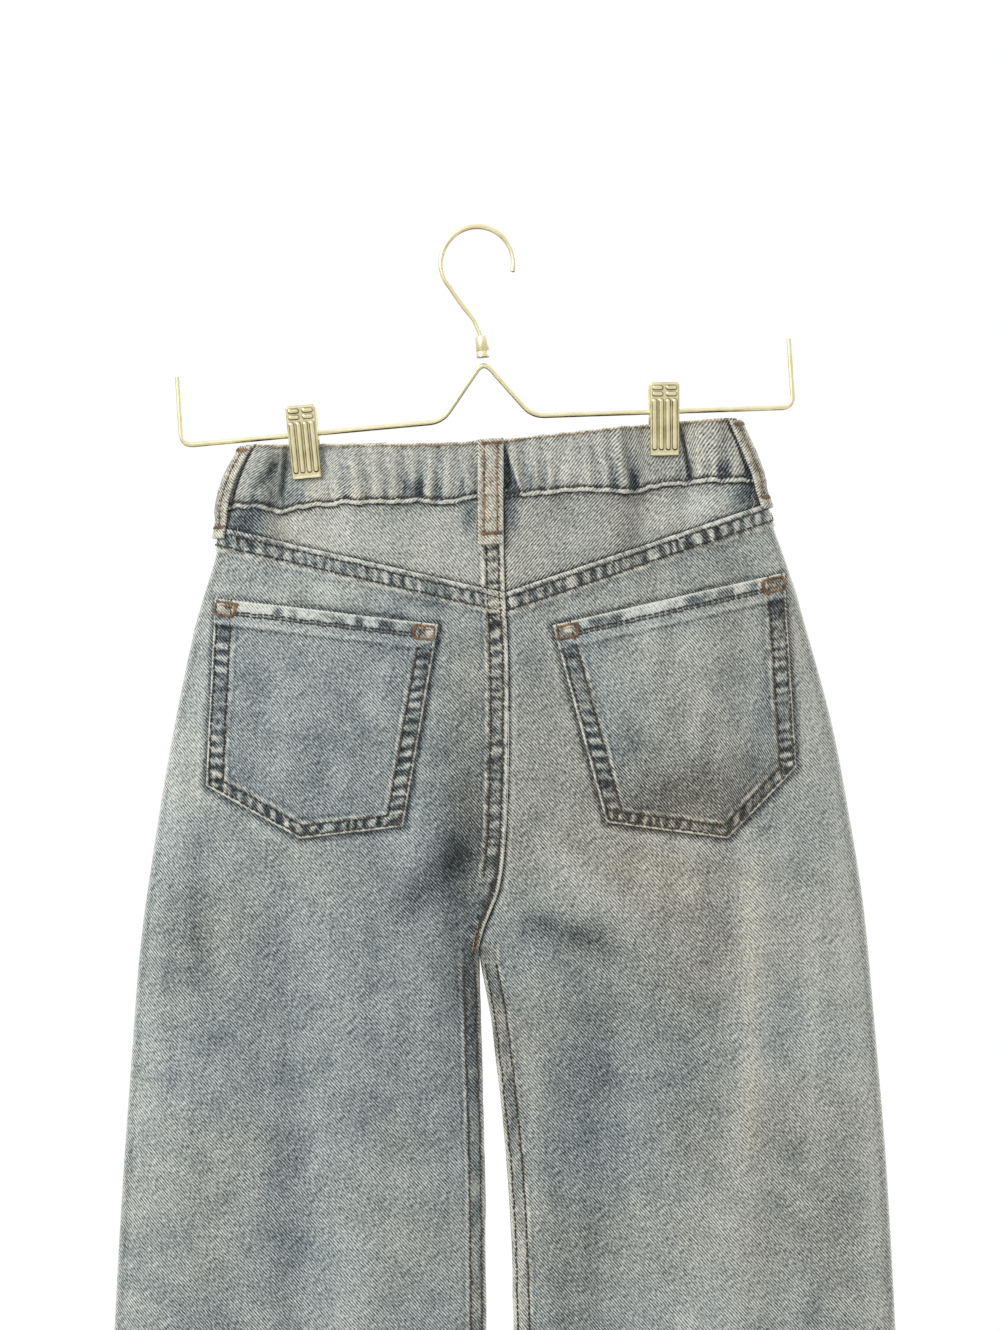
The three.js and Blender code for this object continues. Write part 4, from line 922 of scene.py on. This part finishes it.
def pocketSurface(corners, x, z):
    look, seed, hemHeight = pocketLook, corners["seed"], pocketLook["hemHeight"]
    inner, low1, low2, outerSide, top = insideDistances(pocketOutline(corners), x, z)
    hemEnd = smooth(hemHeight - 0.5, hemHeight + 0.7, top)
    below = smooth(hemHeight, hemHeight + 1.5, top)
    total, wornAndShaded, warm = 0 * x, 0 * x, 0 * x
    edges = [inner, outerSide, low1, low2]
    for k, d in enumerate(edges):  # a band of two rows along each side, weaker at the corners and on the hem
        place = "bottom" if k > 1 else "side"
        h, w, m = seamBand(d, x if k > 1 else z, seed + 10 * k + 2, look[place + "Rows"],
                           look[place + "Width"], 0, 1.05)
        others = np.minimum.reduce(edges[:k] + edges[k + 1:])
        kept = mix(0.3, 1, smooth(0, 1.2, others - 1)) * mix(0.35, 1, below)
        total = np.where(abs(h) > abs(total), h * kept, total)
        wornAndShaded, warm = wornAndShaded + w * kept, warm + m * kept
    # the hem: a fold with one row of stitches, and the ridge of its turned edge below it
    blotch = np.tanh(3.2 * noise(x, 0.4 * z, 4.4, seed + 60) - 0.1) * bump(top - 3.9, 2.6)
    wornAndShaded = wornAndShaded + 0.05 * (1 - hemEnd) + 0.26 * bump(top - 0.7, 0.9) + 0.36 * blotch
    # painted shade in the stitch dent, and painted shadow just under the ridge of the turned edge
    wornAndShaded = wornAndShaded - 0.18 * bump(top - look["hemStitch"], 0.9)
    wornAndShaded = wornAndShaded + 0.16 * bump(top - hemHeight + 0.6, 0.9) - 0.2 * bump(top - hemHeight - 1.2, 1.0)
    warm = warm + 0.3 * bump(top - 0.7, 1.2)
    total = total + look["hemRise"] * (1 - hemEnd) - 0.3 * bump(top - look["hemStitch"], 0.8) + 0.14 * blotch
    # the light boxes inside the bar tacks, and the dark unfaded places under them
    for d in (inner, outerSide):
        inBox = bump(d - 7, 5) * bump(top - 5, 3.2)
        unfaded = bump(d - 5.5, 4.2) * bump(top - hemHeight - 3.2, 3.4)
        wornAndShaded = wornAndShaded + 0.16 * inBox * (1 + noise(x, z, 1.6, seed + 64)) - 0.38 * unfaded
        warm = warm + inBox - 0.5 * unfaded
    calm = smooth(10, 20, np.minimum.reduce([inner, low1, outerSide]))
    nearest = np.minimum.reduce(edges + [top])
    wornAndShaded = wornAndShaded + 0.06 * noise(x + 0.25 * z, 0.2 * z, 9, seed + 70) * calm + 0.12 * bump(nearest - 0.5, 0.6)
    rounded = roundEdge(nearest, 0.9)
    height = (total + look["dome"] * smooth(8, 40, nearest)) * rounded - 1.0 * (1 - rounded)
    base = wearAndShade(1, x, z, seed, corners["wornAndShaded"], corners["warm"])
    return height, base[0] + wornAndShaded, base[1] + warm


def closeAtEnds(first, count, last):
    # places from 0 to 1: given ones near each end, and even ones between
    return np.concatenate([first, np.linspace(first[-1], 1 - last[-1], count)[1:-1], 1 - last[::-1]])


def buildPocket(node, corners):
    # u runs across, with a column at the point, and v down from the top edge to the bent bottom one
    look = pocketLook
    innerTop, innerBottom, point, outerBottom, outerTop = pocketOutline(corners)
    bend = (point[0] - innerBottom[0]) / (outerBottom[0] - innerBottom[0])
    edge = look["edgeSteps"] / abs(outerTop[0] - innerTop[0])
    u = closeAtEnds(edge, look["columns"], edge)
    u[np.argmin(abs(u - bend))] = bend
    u = np.sort(u)[None, :, None]
    height = innerTop[1] - innerBottom[1]
    topSteps = np.concatenate([look["edgeSteps"], look["ridgeSteps"]]) / height
    v = closeAtEnds(topSteps, look["rows"], look["edgeSteps"][:15] / height)[:, None, None]
    beyond = mix(point, outerBottom, (u - bend) / (1 - bend))
    under = np.where(u < bend, mix(innerBottom, point, u / bend), beyond)
    x, z = np.moveaxis(mix(mix(innerTop, outerTop, u), under, v), -1, 0)
    height, wornAndShaded, warm = pocketSurface(corners, x, z)
    base = unevenness(1, x, z) + look["lift"]
    turn = -1 if innerTop[0] > 0 else 1
    clothPiece(node, 1, shareAt(x, z), z, base + look["thickness"] + height, base - 0.25, wornAndShaded, warm, turn)


for pocketName, pocketCorners in backPockets.items():
    buildPocket(pocketName, pocketCorners)
print("pockets made")


loopLook = {
    "halfWidth": 7, "thickness": 1.5, "overBand": 2.7, "overYoke": 1.8, "columns": 31,
    "ends": [0, 0.25, 0.6, 1.1], "drops": [-1, 4, 16, 29, 36, 70], "stand": [0, 0, 0.8, 0.8, 0, 0],
    "stitchAt": 3.6, "tackDrop": 1.6, "tackUp": 5.8, "tackHalf": 6.3, "foldedEnd": 6.5,
}
loops = {
    "belt_loop_back": {"face": 1, "x": 7.2, "length": 57, "top": 0, "seed": 201},
    "belt_loop_front_left": {"face": -1, "x": 72, "length": 54, "top": 3, "seed": 203},
    "belt_loop_front_right": {"face": -1, "x": -58, "length": 54, "top": 3, "seed": 207},
    "belt_loop_side_left": {"face": 1, "side": 1, "length": 48, "top": 2.5, "seed": 212},
    "belt_loop_side_right": {"face": 1, "side": -1, "length": 48, "top": 2.5, "seed": 210},
}


def loopSurface(t, drop, length, seed):
    # across: two rows of stitches with a ridge between them; the ends are folded under
    edge = np.minimum(loopLook["halfWidth"] - abs(t), np.minimum(drop + 1, length - drop))
    rows = bump(abs(t) - loopLook["stitchAt"], 0.7) * (0.8 + 0.2 * np.sin(2 * np.pi * drop / 3))
    folded = smooth(6.4, 5.4, length - drop)
    height = -0.9 * (1 - roundEdge(edge, 0.8)) - 0.34 * rows + 0.22 * bump(t, 1.6) + 0.35 * folded
    height = height + 0.1 * noise(t, drop, 2.6, seed) - 0.3 * bump(length - drop - loopLook["tackUp"], 0.8)
    wornAndShaded = 0.62 + 0.14 * noise(t, drop, 3.4, seed + 1) + 0.08 * noise(t, drop, 11, seed + 2) - 0.2 * rows
    wornAndShaded = wornAndShaded + 0.16 * bump(edge - 0.5, 0.7) + 0.08 * folded - 0.2 * bump(length - drop - 6.6, 0.8)
    return height, wornAndShaded, 0.75 + 0.2 * noise(t, drop, 9, seed + 3) + 0.3 * rows


def loopHeight(z, drop):
    # over the waistband, then lower on the yoke, and off both in between
    look = loopLook
    over = mix(look["overYoke"], look["overBand"], smooth(-36, -31, z))
    return over + np.interp(drop, look["drops"], look["stand"])


def buildLoop(node, face, length, top, seed, x=0, side=0):
    look, ends = loopLook, np.array(loopLook["ends"])
    fold = length - 7.5  # the rows stand closer where the lower end is folded
    folded = fold + np.arange(1, 7) * 1.05
    drop = np.concatenate([ends - 1, np.arange(0.8, fold, 1.0), folded, length - ends[::-1]])
    rim = look["halfWidth"] * (1 - np.array([0, 0.035, 0.09]))
    t = np.concatenate([-rim, np.linspace(-5.9, 5.9, look["columns"] - 6), rim[::-1]])
    t, drop = np.meshgrid(t, drop)
    z = top - drop
    share = sidePlace(side)(t, z) if side else shareAt(x + t, z)
    stand = loopHeight(z, drop)
    height, wornAndShaded, warm = loopSurface(t, drop, length, seed)
    clothPiece(node, face, share, z, stand + look["thickness"] + height, stand, wornAndShaded, warm, -1, "faded_denim")


for loopName, loopSizes in loops.items():
    buildLoop(loopName, **loopSizes)
print("belt loops made")


flyLook = {"lift": 1.0, "left": 30, "right": -6, "straight": -112, "curve": 40, "end": 0.93,
           "rows": (2.2, 8.4), "steps": np.array([0, .3, .7, 1.2, 2, 3, 4, 5, 6, 7, 8, 9]),
           "straightRows": 56, "curveRows": 26, "columns": 20}


def buildFly():
    # straight down and then round a quarter oval; u runs across each row
    look = flyLook
    width = look["left"] - look["right"]
    straight = look["straight"]
    top = bandBottom(0.0) - 1.5 * garment["seamGap"]
    f = np.sin(np.linspace(0, np.arcsin(look["end"]), look["curveRows"]))[1:]
    z = np.concatenate([np.linspace(top, straight, look["straightRows"]), straight - look["curve"] * f])
    across = np.concatenate([np.full(look["straightRows"], width), width * np.sqrt(1 - f**2)])[:, None]
    u = closeAtEnds(look["steps"] / width, look["columns"], look["steps"] / width)
    x = look["right"] + across * u
    z = z[:, None] + 0 * x
    low = z - straight + look["curve"] * look["end"] + 0.4
    nearest = np.minimum.reduce([across * u, across * (1 - u), low])
    wornAndShaded, warm = wearAndShade(-1, x, z, 303, 0.5, 0.2)
    wornAndShaded = wornAndShaded + 0.26 * bump(nearest - 0.6, 0.8) + 0.08 * noise(x, z, 4, 305)
    base = unevenness(-1, x, z) + look["lift"]
    out = base + garment["cloth"] - 1.1 * (1 - roundEdge(nearest, 0.9)) + 0.15 * noise(x, z, 7, 306)
    clothPiece("fly", -1, shareAt(x, z), z, out, base, wornAndShaded, warm)


buildFly()
print("fly made")


def sewSeams():
    onPanel = lambda face, rise: lambda x, z: unevenness(face, x, z) + rise
    centre = lambda z, d: readTable(seams, "left", z) + d / seamAngle(z)
    lap = garment["lapRise"]
    # yoke seam: two rows below the folded edge, right across the back
    x = np.linspace(-160, 160, 400)
    for d in (3.3, 10.0):
        sew("seam", 1, x, yokeSeam(x) - d * steepness(yokeSeam, x), onPanel(1, lap + 0.02), seed=int(d))
    # centre back: two columns beside the folded edge, and a short tack where the four seams meet
    for d, last in ((3.3, -277), (10.0, -238)):
        z = np.linspace(-28, last, 200)
        sew("seam", 1, centre(z, d), z, onPanel(1, lap + 0.04), seed=20 + int(d))
    for d in (2.3, 3.1, 4.0):
        z = np.linspace(-268 + d, -279, 20)
        sew("tan", 1, centre(z, d), z, onPanel(1, lap - 0.1), pitch=2.3, length=2.2, radius=0.36, jitter=0.3,
            seed=29 + int(d))
    for side in (1, -1):
        z = np.linspace(-286, -926, 500)
        for d in panelLook["inseamRows"]:
            sew("seam", 1, side * (innerEdge(side, z) + d), z, onPanel(1, panelLook["inseamRise"]), seed=31)
        # hems, in front and behind
        x = side * np.linspace(innerEdge(side, -930) + 1, outerEdge(side, -930) - 1.5, 300)
        z = panelLook["hemRows"][1] - garment["length"] + 0 * x
        for face in (1, -1):
            sew("rust", face, x, z, onPanel(face, garment["hemRise"]), seed=41)
        # front pocket mouths
        x = 7.4 + side * np.linspace(87, 150, 200)
        slope = scoopEdge(x + 0.5) - scoopEdge(x - 0.5)
        run = np.sqrt(1 + slope**2)
        for d in (1.9, 7.9):
            px, pz = x + d * slope / run, scoopEdge(x) - d / run
            keep = outerEdge(side, pz) - side * px > 9
            sew("seam", -1, px[keep], pz[keep], onPanel(-1, lap), seed=51)
    # front centre seam, and the fly's rows down to its curve
    z = np.linspace(-155, -274, 120)
    sew("seam", -1, centre(z, 2.2), z, onPanel(-1, 0.0), seed=61)
    look, turn = flyLook, np.linspace(0, 1.16, 60)
    for inset in look["rows"]:
        reach = look["left"] - look["right"] - inset
        x = look["right"] + reach * np.concatenate([np.ones(30), np.cos(turn)])
        z = np.concatenate([np.linspace(-31.5, look["straight"], 31)[:30],
                            look["straight"] - (look["curve"] - inset) * np.sin(turn)])
        sew("seam", -1, x, z, onPanel(-1, look["lift"] + garment["cloth"] + 0.05), seed=67)


def sewBand():
    look = bandLook
    meet = look["frontMeet"]
    for face, low, high in ((1, -150, 150), (-1, meet + 1.5, 150), (-1, -150, meet - 1.5)):
        x = np.linspace(low, high, 500)
        gathers = lambda x, t: look["height"] * waistRipple(x, t + 0 * x) if face > 0 else 0 * x
        reach = lambda t: lambda x, z: creaseHeight(face, x, z) + 1.18 + gathers(x, t)
        low = bandBottom(x) - (bandWave(x) if face > 0 else 0.8) + look["stitchUp"]
        high = bandTop(x) - look["stitchDown"] + 0.2
        for name, z, z0, t, *sizes in (("seam", low, bandBottom(x), 0.09, 3.0, 2.4, 0.56, 0.34, 71),
                                       ("tan", high, -4 + 0 * x, 0.95, 2.6, 2.2, 0.42, 0.45, 73)):
            keep = outerEdge(np.sign(x), z0) - abs(x) > 1.5
            sew(name, face, x[keep], z[keep], reach(t), *sizes)


def crossing(a, alongA, b, alongB):
    # where a line from a meets a line from b
    area = lambda p, q: p[0] * q[1] - p[1] * q[0]
    return a + alongA * area(b - a, alongB) / area(alongA, alongB)


def sewPockets():
    look = pocketLook
    lift = lambda x, z: unevenness(1, x, z) + look["lift"] + look["thickness"] + 0.1
    hemLift = lambda x, z: lift(x, z) + look["hemRise"]
    for corners in backPockets.values():
        outline = pocketOutline(corners)
        lines = edgeLines(outline)
        for side, low in zip(look["sideRows"], look["bottomRows"]):
            # each edge moved in by its row's distance, and the corners where they then meet
            insets = (side, low, low, side)
            rows = [(a + normal * inset, along) for (a, along, normal), inset in zip(lines, insets)]
            path = [rows[0][0]] + [crossing(*first, *second) for first, second in zip(rows, rows[1:])]
            last, along = rows[-1]
            path = np.array(path + [last + along * np.linalg.norm(outline[-1] - outline[-2])])
            for k in range(4):
                sew("seam", 1, path[k:k + 2, 0], path[k:k + 2, 1], lift, seed=81 + k)
        a, b = outline[0], outline[-1]
        along, down = -lines[4][1], lines[4][2]
        for d in (look["hemStitch"] - 0.9, look["hemStitch"] + 0.9):
            ends = np.stack([a + along * 12, b - along * 12]) + down * d
            sew("seam", 1, ends[:, 0], ends[:, 1], hemLift, radius=0.42, seed=int(85 + d))
        # a box of close stitches at each top corner, with a second row inside it
        for corner, inward in ((a, along), (b, -along)):
            (left, high), (right, low) = look["boxNear"], look["boxFar"]
            box = np.array([[left, high], [right, high], [right, low], [left, low], [left, high]])
            path = corner + box[:, :1] * inward + box[:, 1:] * down
            for k, wide in enumerate(look["boxWidths"]):
                zigzag("rust", 1, path[k], path[k + 1], hemLift, wide, pitch=0.78, radius=0.32)
            start = corner + 3.4 * inward + 3.5 * down
            zigzag("tan", 1, start, start + 6.8 * inward, hemLift, 0.9, radius=0.26)


def sewLoops():
    look = loopLook
    tack = np.array([-1, -0.5, 0.5, 1])
    for loop in loops.values():
        length, top = loop["length"], loop["top"]
        tacks = ((look["tackDrop"], 0.0), (length - look["tackUp"], 0.25))
        if "x" in loop:
            face, middle = loop["face"], loop["x"]
            stand = lambda more: lambda x, z: loopHeight(z, top - z) + look["thickness"] + more
            for across in (-look["stitchAt"], look["stitchAt"]):
                z = top - np.linspace(1.5, length - look["foldedEnd"], 60)
                sew("rust", face, middle + across + 0 * z, z, stand(-0.12), pitch=2.9, radius=0.4, seed=91)
            for drop, folded in tacks:
                low, high = middle - look["tackHalf"], middle + look["tackHalf"]
                ends = np.array([[low, top - drop], [high, top - drop]])
                zigzag("rust", face, *ends, stand(folded), 2.0)
            continue
        # the same rows round a side fold, worked out from distances round it
        drops = np.arange(1.5, length - look["foldedEnd"], 2.9)[:, None] + 2.4 * stitchArch["at"]
        sewn = [(across + 0 * drops, drops, -0.15) for across in (-look["stitchAt"], look["stitchAt"])]
        for drop, folded in tacks:
            t = np.arange(-6.2, 6.3, 0.9)[:, None] + 0.35 * tack
            sewn.append((t, drop + tack + 0 * t, 0.15))
        for t, drop, more in sewn:
            z = top - drop
            share = sidePlace(loop["side"])(t.reshape(-1, 1), z.reshape(-1, 1)).reshape(z.shape)
            height = loopHeight(z, drop) + look["thickness"] + more + stitchArch["up"]
            addStitches("rust", 1, share, z, height, 0.38)


for sewRows in (sewSeams, sewBand, sewPockets, sewLoops):
    sewRows()
threadPiece("seamStitches", "seam", seamThread, "denim")
threadPiece("rustStitches", "rust", rustThread, "faded_denim")
threadPiece("tanStitches", "tan", tanThread, "faded_denim")
print("sewing made")


def ringPoints(sides):
    # the cosines and sines of even places round a circle
    turn = 2 * np.pi * np.arange(sides) / sides
    return np.cos(turn), np.sin(turn)


def tube(points, radii, sides):
    # a ring of points square to the path at every step, and a cap at each end
    points, radii = np.asarray(points, float), np.broadcast_to(radii, len(points))
    ahead = np.gradient(points, axis=0)
    ahead /= np.linalg.norm(ahead, axis=1)[:, None]
    normal = np.cross(ahead, [0.0, 1.0, 0.0])
    weak = np.linalg.norm(normal, axis=1) < 0.2
    normal[weak] = np.cross(ahead[weak], [0.0, 0.0, 1.0])
    normal /= np.linalg.norm(normal, axis=1)[:, None]
    for k in range(1, len(normal)):  # the ring doesn't twist from one step to the next
        kept = normal[k - 1] - ahead[k] * (normal[k - 1] @ ahead[k])
        normal[k] = kept / np.linalg.norm(kept)
    other = np.cross(ahead, normal)
    c, s = ringPoints(sides)
    ring = c[:, None] * normal[:, None] + s[:, None] * other[:, None]
    return (points[:, None] + radii[:, None, None] * ring).reshape(-1, 3), tubeFaces(len(points), sides)


def lathe(profile, sides):
    # a profile of [radius, height] turned about the upright axis, closed by a face at each end
    c, s = ringPoints(sides)
    r, z = np.array(profile)[:, :1], np.array(profile)[:, 1:]
    return np.stack([r * c, r * s, z + 0 * c], axis=-1).reshape(-1, 3), tubeFaces(len(profile), sides)


def joinParts(parts):
    # several meshes as one, each with its own vertices
    vertices, faces, start = [], [], 0
    for v, f in parts:
        vertices.append(v)
        faces += [[k + start for k in face] for face in f]
        start += len(v)
    return np.concatenate(vertices), faces


def lean(points, angle):
    # turned about the front-to-back axis
    x, y, z = np.moveaxis(np.asarray(points, float), -1, 0)
    c, s = np.cos(angle), np.sin(angle)
    return np.stack([x * c + z * s, y, z * c - x * s], axis=-1)


def turnX(points, angle):
    # turned about the side-to-side axis
    x, y, z = np.moveaxis(points, -1, 0)
    c, s = np.cos(angle), np.sin(angle)
    return np.stack([x, y * c - z * s, y * s + z * c], axis=-1)


hanger = {
    "wire": 1.4, "hook": 20, "lean": np.radians(3.6), "droop": np.tan(np.radians(1.7)), "arms": -104.5,
    "halfGap": 24.9, "peak": 32, "halfLength": 168.5, "upturn": 38, "bend": 7,
    "collar": 3.6, "collarHeight": 12, "hookFrom": -42, "hookTo": 198, "hookSteps": 61, "wireSides": 20,
}
hookMiddle = np.array([0, 0, hanger["wire"] - hanger["hook"]])
swing = lambda points: lean(points - hookMiddle, hanger["lean"]) + hookMiddle
armHeight = lambda x: hanger["arms"] - hanger["droop"] * (abs(x) - hanger["halfGap"])


def roundedPath(corners, radius, steps=10):
    # straight runs joined by smooth bends
    corners = [np.array([x, 0.0, z]) for x, z in corners]
    path = [corners[0]]
    for a, b, c in zip(corners, corners[1:], corners[2:]):
        start, end = (b + (p - b) / np.linalg.norm(p - b) * radius for p in (a, c))
        t = np.linspace(0, 1, steps + 1)[:, None]
        path += list((1 - t) ** 2 * start + 2 * t * (1 - t) * b + t * t * end)
    return np.array(path + [corners[-1]])


def wire(path):
    # a wire whose cut ends are slightly rounded
    first = (path[1] - path[0]) / np.linalg.norm(path[1] - path[0])
    last = (path[-1] - path[-2]) / np.linalg.norm(path[-1] - path[-2])
    points = np.concatenate([[path[0], path[0] + first * 0.4], path[1:-1], [path[-1] - last * 0.4, path[-1]]])
    radii = np.full(len(points), hanger["wire"])
    radii[[0, -1]] *= 0.7
    return tube(points, radii, hanger["wireSides"])


def buildHanger():
    end, arms, r = hanger["halfLength"], hanger["arms"], hanger["collar"]
    half = [(end, armHeight(end) + hanger["upturn"]), (end, armHeight(end)), (hanger["halfGap"], arms)]
    corners = half + [(0, arms + hanger["peak"])] + [(-x, z) for x, z in half[::-1]]
    v, f = wire(roundedPath(corners, hanger["bend"]))
    dress(makeMesh("hanger_barWire", swing(v) * mm, f, 40), paleGold, "pale_gold", "hanger_bar")
    # the hook rises out of its collar, and its path is smoothed once
    low = arms + hanger["peak"] + hanger["wire"] + 0.3
    high = low + hanger["collarHeight"]
    turn = np.radians(np.linspace(hanger["hookFrom"], hanger["hookTo"], hanger["hookSteps"]))
    arc = np.stack([hanger["hook"] * np.cos(turn), hookMiddle[2] + hanger["hook"] * np.sin(turn)], axis=1)
    knots = np.concatenate([[[0, low + 1], [0, high + 3], [2.6, high + 9], [9, high + 15]], arc])
    path = np.insert(knots, 1, 0, axis=1)
    path[1:-1] = (path[:-2] + 2 * path[1:-1] + path[2:]) / 4
    collar = lathe([[0.01, low], [r - 0.5, low], [r, low + 0.5], [r, low + 3], [r - 0.35, low + 3.5],
                    [r, low + 4], [r, high - 1], [r - 0.6, high], [1.2, high + 0.2]], 32)
    v, f = joinParts([wire(path), collar])
    dress(makeMesh("hanger_hookWire", swing(v) * mm, f, 40), paleGold, "pale_gold", "hanger_hook")


buildHanger()
print("hanger made")


jaw = {
    "halfWidth": 8.05, "low": -25.0, "high": 15.4, "thickness": 0.9, "grip": 4.8, "tilt": 0.122,
    "corner": 1.4, "columns": 61, "rows": 133, "ribs": (-5.55, -1.85, 1.85, 5.55),
    "ribLow": -21.4, "ribHigh": 6.4, "ribHalf": 1.15, "rise": 0.9,
    "beads": ((-3.8, 9.1), (3.8, 9.1), (-3.8, 12.5), (3.8, 12.5)),
    "beadReach": 1.7, "beadHalf": 1.1, "ear": 3.6, "hole": 2.0, "leaf": 0.45, "earSides": 48,
    "earsBack": 7.6, "earsFront": 6.4,  # how far the ears of each jaw stand from its middle
    "coil": 3.2, "coilHalf": 5.2, "coilTurns": 5, "coilWire": 0.75, "coilSteps": 201,
}


def pillDistance(x, z, a, b):
    # distance from the straight line between two points
    dx, dz = b[0] - a[0], b[1] - a[1]
    t = np.clip(((x - a[0]) * dx + (z - a[1]) * dz) / (dx * dx + dz * dz), 0, 1)
    return np.hypot(x - a[0] - t * dx, z - a[1] - t * dz)


def jawPlate():
    # a pressed plate with round corners: ribs and beads stand out of it, and its edges are turned down
    x, z = np.meshgrid(np.linspace(-1, 1, jaw["columns"]) * jaw["halfWidth"],
                       np.linspace(jaw["low"], jaw["high"], jaw["rows"]))
    middle, half, r = (jaw["low"] + jaw["high"]) / 2, (jaw["high"] - jaw["low"]) / 2, jaw["corner"]
    z = z - middle
    dx, dz = (np.clip((abs(v) - reach + r) / r, 0, 1) for v, reach in ((x, jaw["halfWidth"]), (z, half)))
    px = np.sign(x) * (np.minimum(abs(x), jaw["halfWidth"] - r) + r * dx * np.sqrt(1 - dz**2 / 2))
    pz = middle + np.sign(z) * (np.minimum(abs(z), half - r) + r * dz * np.sqrt(1 - dx**2 / 2))
    low, high = jaw["ribLow"] + jaw["ribHalf"], jaw["ribHigh"] - jaw["ribHalf"]
    pills = [((at, low), (at, high), jaw["ribHalf"] + 0.15, 1, 0.42) for at in jaw["ribs"]]
    pills += [((at - jaw["beadReach"], up), (at + jaw["beadReach"], up), jaw["beadHalf"] + 0.1, 0.6, 0.38)
              for at, up in jaw["beads"]]
    stand, grooveShade = np.zeros_like(px), np.zeros_like(px)
    for a, b, reach, tall, wide in pills:
        d = pillDistance(px, pz, a, b)
        stand = np.maximum(stand, tall * np.sqrt(np.clip(1 - (d / (reach + 0.05)) ** 2, 0, 1)))
        # painted shade in a thin line round each rib and bead
        grooveShade = np.maximum(grooveShade, bump(d - reach, wide))
    edge = np.minimum(jaw["halfWidth"] - abs(x), half - abs(z))
    y = jaw["thickness"] + jaw["rise"] * stand + 0.25 * bump(edge - 1.0, 0.5)
    y = y - 0.45 * (1 - roundEdge(edge, 0.6))
    v = np.stack([[px, y, pz], [px, 0 * px, pz]]).transpose(0, 2, 3, 1).reshape(-1, 3)
    # the mask of painted shade: lines round the ribs and beads, and a dark line round the plate's edge
    return v, facingOut(v, wallFaces(*px.shape)), np.maximum(grooveShade, 0.7 * bump(edge - 0.1, 0.35)).ravel()


def jawEar(at, stand):
    # a leaf that the wire runs through: an outline and a hole, joined on both faces; the outline is
    # round behind and runs straight forward to the plate
    sides = jaw["earSides"]
    c, s = ringPoints(sides)
    forward, beside = np.maximum(c, 1e-6), np.maximum(abs(s) - 0.4 / stand * c, 1e-6)
    reach = np.where(c > 1e-6, np.minimum(stand / forward, jaw["ear"] / beside), jaw["ear"])
    rings = [np.stack([at + off + 0 * c, radius * c, radius * s], axis=1)
             for off, radius in ((-jaw["leaf"], reach), (jaw["leaf"], reach),
                                 (jaw["leaf"], jaw["hole"]), (-jaw["leaf"], jaw["hole"]))]
    k = np.arange(4 * sides).reshape(4, sides)
    after = np.roll(k, -1, axis=1)
    quads = np.stack([k, after, np.roll(after, -1, axis=0), np.roll(k, -1, axis=0)], axis=-1).reshape(-1, 4)
    v = np.concatenate(rings)
    return v, facingOut(v, quads)


def buildClip(name, x, tilt):
    # both jaws and the spring are made about the wire, then leant and set in their place on it
    onArm = x - np.sin(hanger["lean"]) * (hanger["arms"] - hookMiddle[2])
    settle = lambda points: (lean(points, tilt) + swing(np.array([onArm, 0, armHeight(onArm)]))) * mm
    stand = jaw["grip"] - jaw["low"] * np.tan(jaw["tilt"])
    v, f, grooveShade = jawPlate()
    plate = turnX(v, -jaw["tilt"]) + (0, stand, 0), f
    for which, earX, facing in (("back", jaw["earsBack"], 1), ("front", jaw["earsFront"], -1)):
        v, f = joinParts([plate] + [jawEar(at, stand + 0.45) for at in (-earX, earX)])
        piece = makeMesh(f"{name}_{which}Plate", settle(v * (facing, facing, 1)), f, 40)
        dress(piece, paleGold, "pale_gold", f"{name}_{which}_jaw")
        # the painted shade along the grooves, on the plate's points only
        dark = np.zeros(len(v))
        dark[:len(grooveShade)] = grooveShade
        piece.data.attributes.new("grooveShade", "FLOAT", "POINT").data.foreach_set("value", dark)
    t = np.linspace(0, 1, jaw["coilSteps"])
    turn = t * jaw["coilTurns"] * 2 * np.pi
    path = [(2 * t - 1) * jaw["coilHalf"], jaw["coil"] * np.cos(turn), jaw["coil"] * np.sin(turn)]
    v, f = tube(np.stack(path, axis=1), jaw["coilWire"], 10)
    dress(makeMesh(f"{name}Coil", settle(v), f, 60), darkSteel, "dark_steel", f"{name}_spring")


for clipName, clipX, clipTilt in zip(("clip_left", "clip_right"), clipPlaces["x"], clipPlaces["tilt"]):
    buildClip(clipName, clipX, clipTilt)
print("clips made")


button = {  # half of its section, as radius and height
    "height": -15.0,
    "section": [[0.01, 0], [6.4, 0], [7.9, 0.3], [8.45, 0.9], [8.5, 1.5], [8.3, 2.2], [7.8, 2.75],
                [7.2, 3.0], [6.6, 2.95], [6.1, 2.7], [5.6, 2.5], [4.6, 2.5], [4.2, 2.75],
                [3.6, 3.1], [2.4, 3.25], [1.2, 3.3], [0.01, 3.3]],
}
v, f = lathe(button["section"], 64)
seat = clothPoint(-1, 1e-9, button["height"], garment["bandOut"] + 2 * garment["seamGap"])
cap = makeMesh("buttonCap", turnX(v, np.pi / 2) * mm + hang(seat), f, 50)  # its crown faces the front
dress(cap, darkSteel, "dark_steel", "button")

looseEnds = {  # thread ends left beside the loops
    "x": [14.8, 146.5, 147.5, -135.5], "z": [-44, -40, -43, -38], "sway": [0.9, -1.2, 1.4, 1.1],
    "length": [9, 8, 6, 7],
}
ends = []
for k, (x, z, sway, length) in enumerate(zip(*looseEnds.values())):
    t = np.linspace(0, 1, 14)
    px, pz = x + sway * np.sin(3.2 * t + k), z - length * t
    height = 0.55 + 0.9 * np.sin(np.pi * t) + unevenness(1, px, pz)
    ends.append(tube(hang(clothPoint(1, shareAt(px, pz), pz, height)) / mm, 0.2, 6))
v, f = joinParts(ends)
dress(makeMesh("looseThreads", v * mm, f, 80), paleThread, "faded_denim")
print("small pieces made")
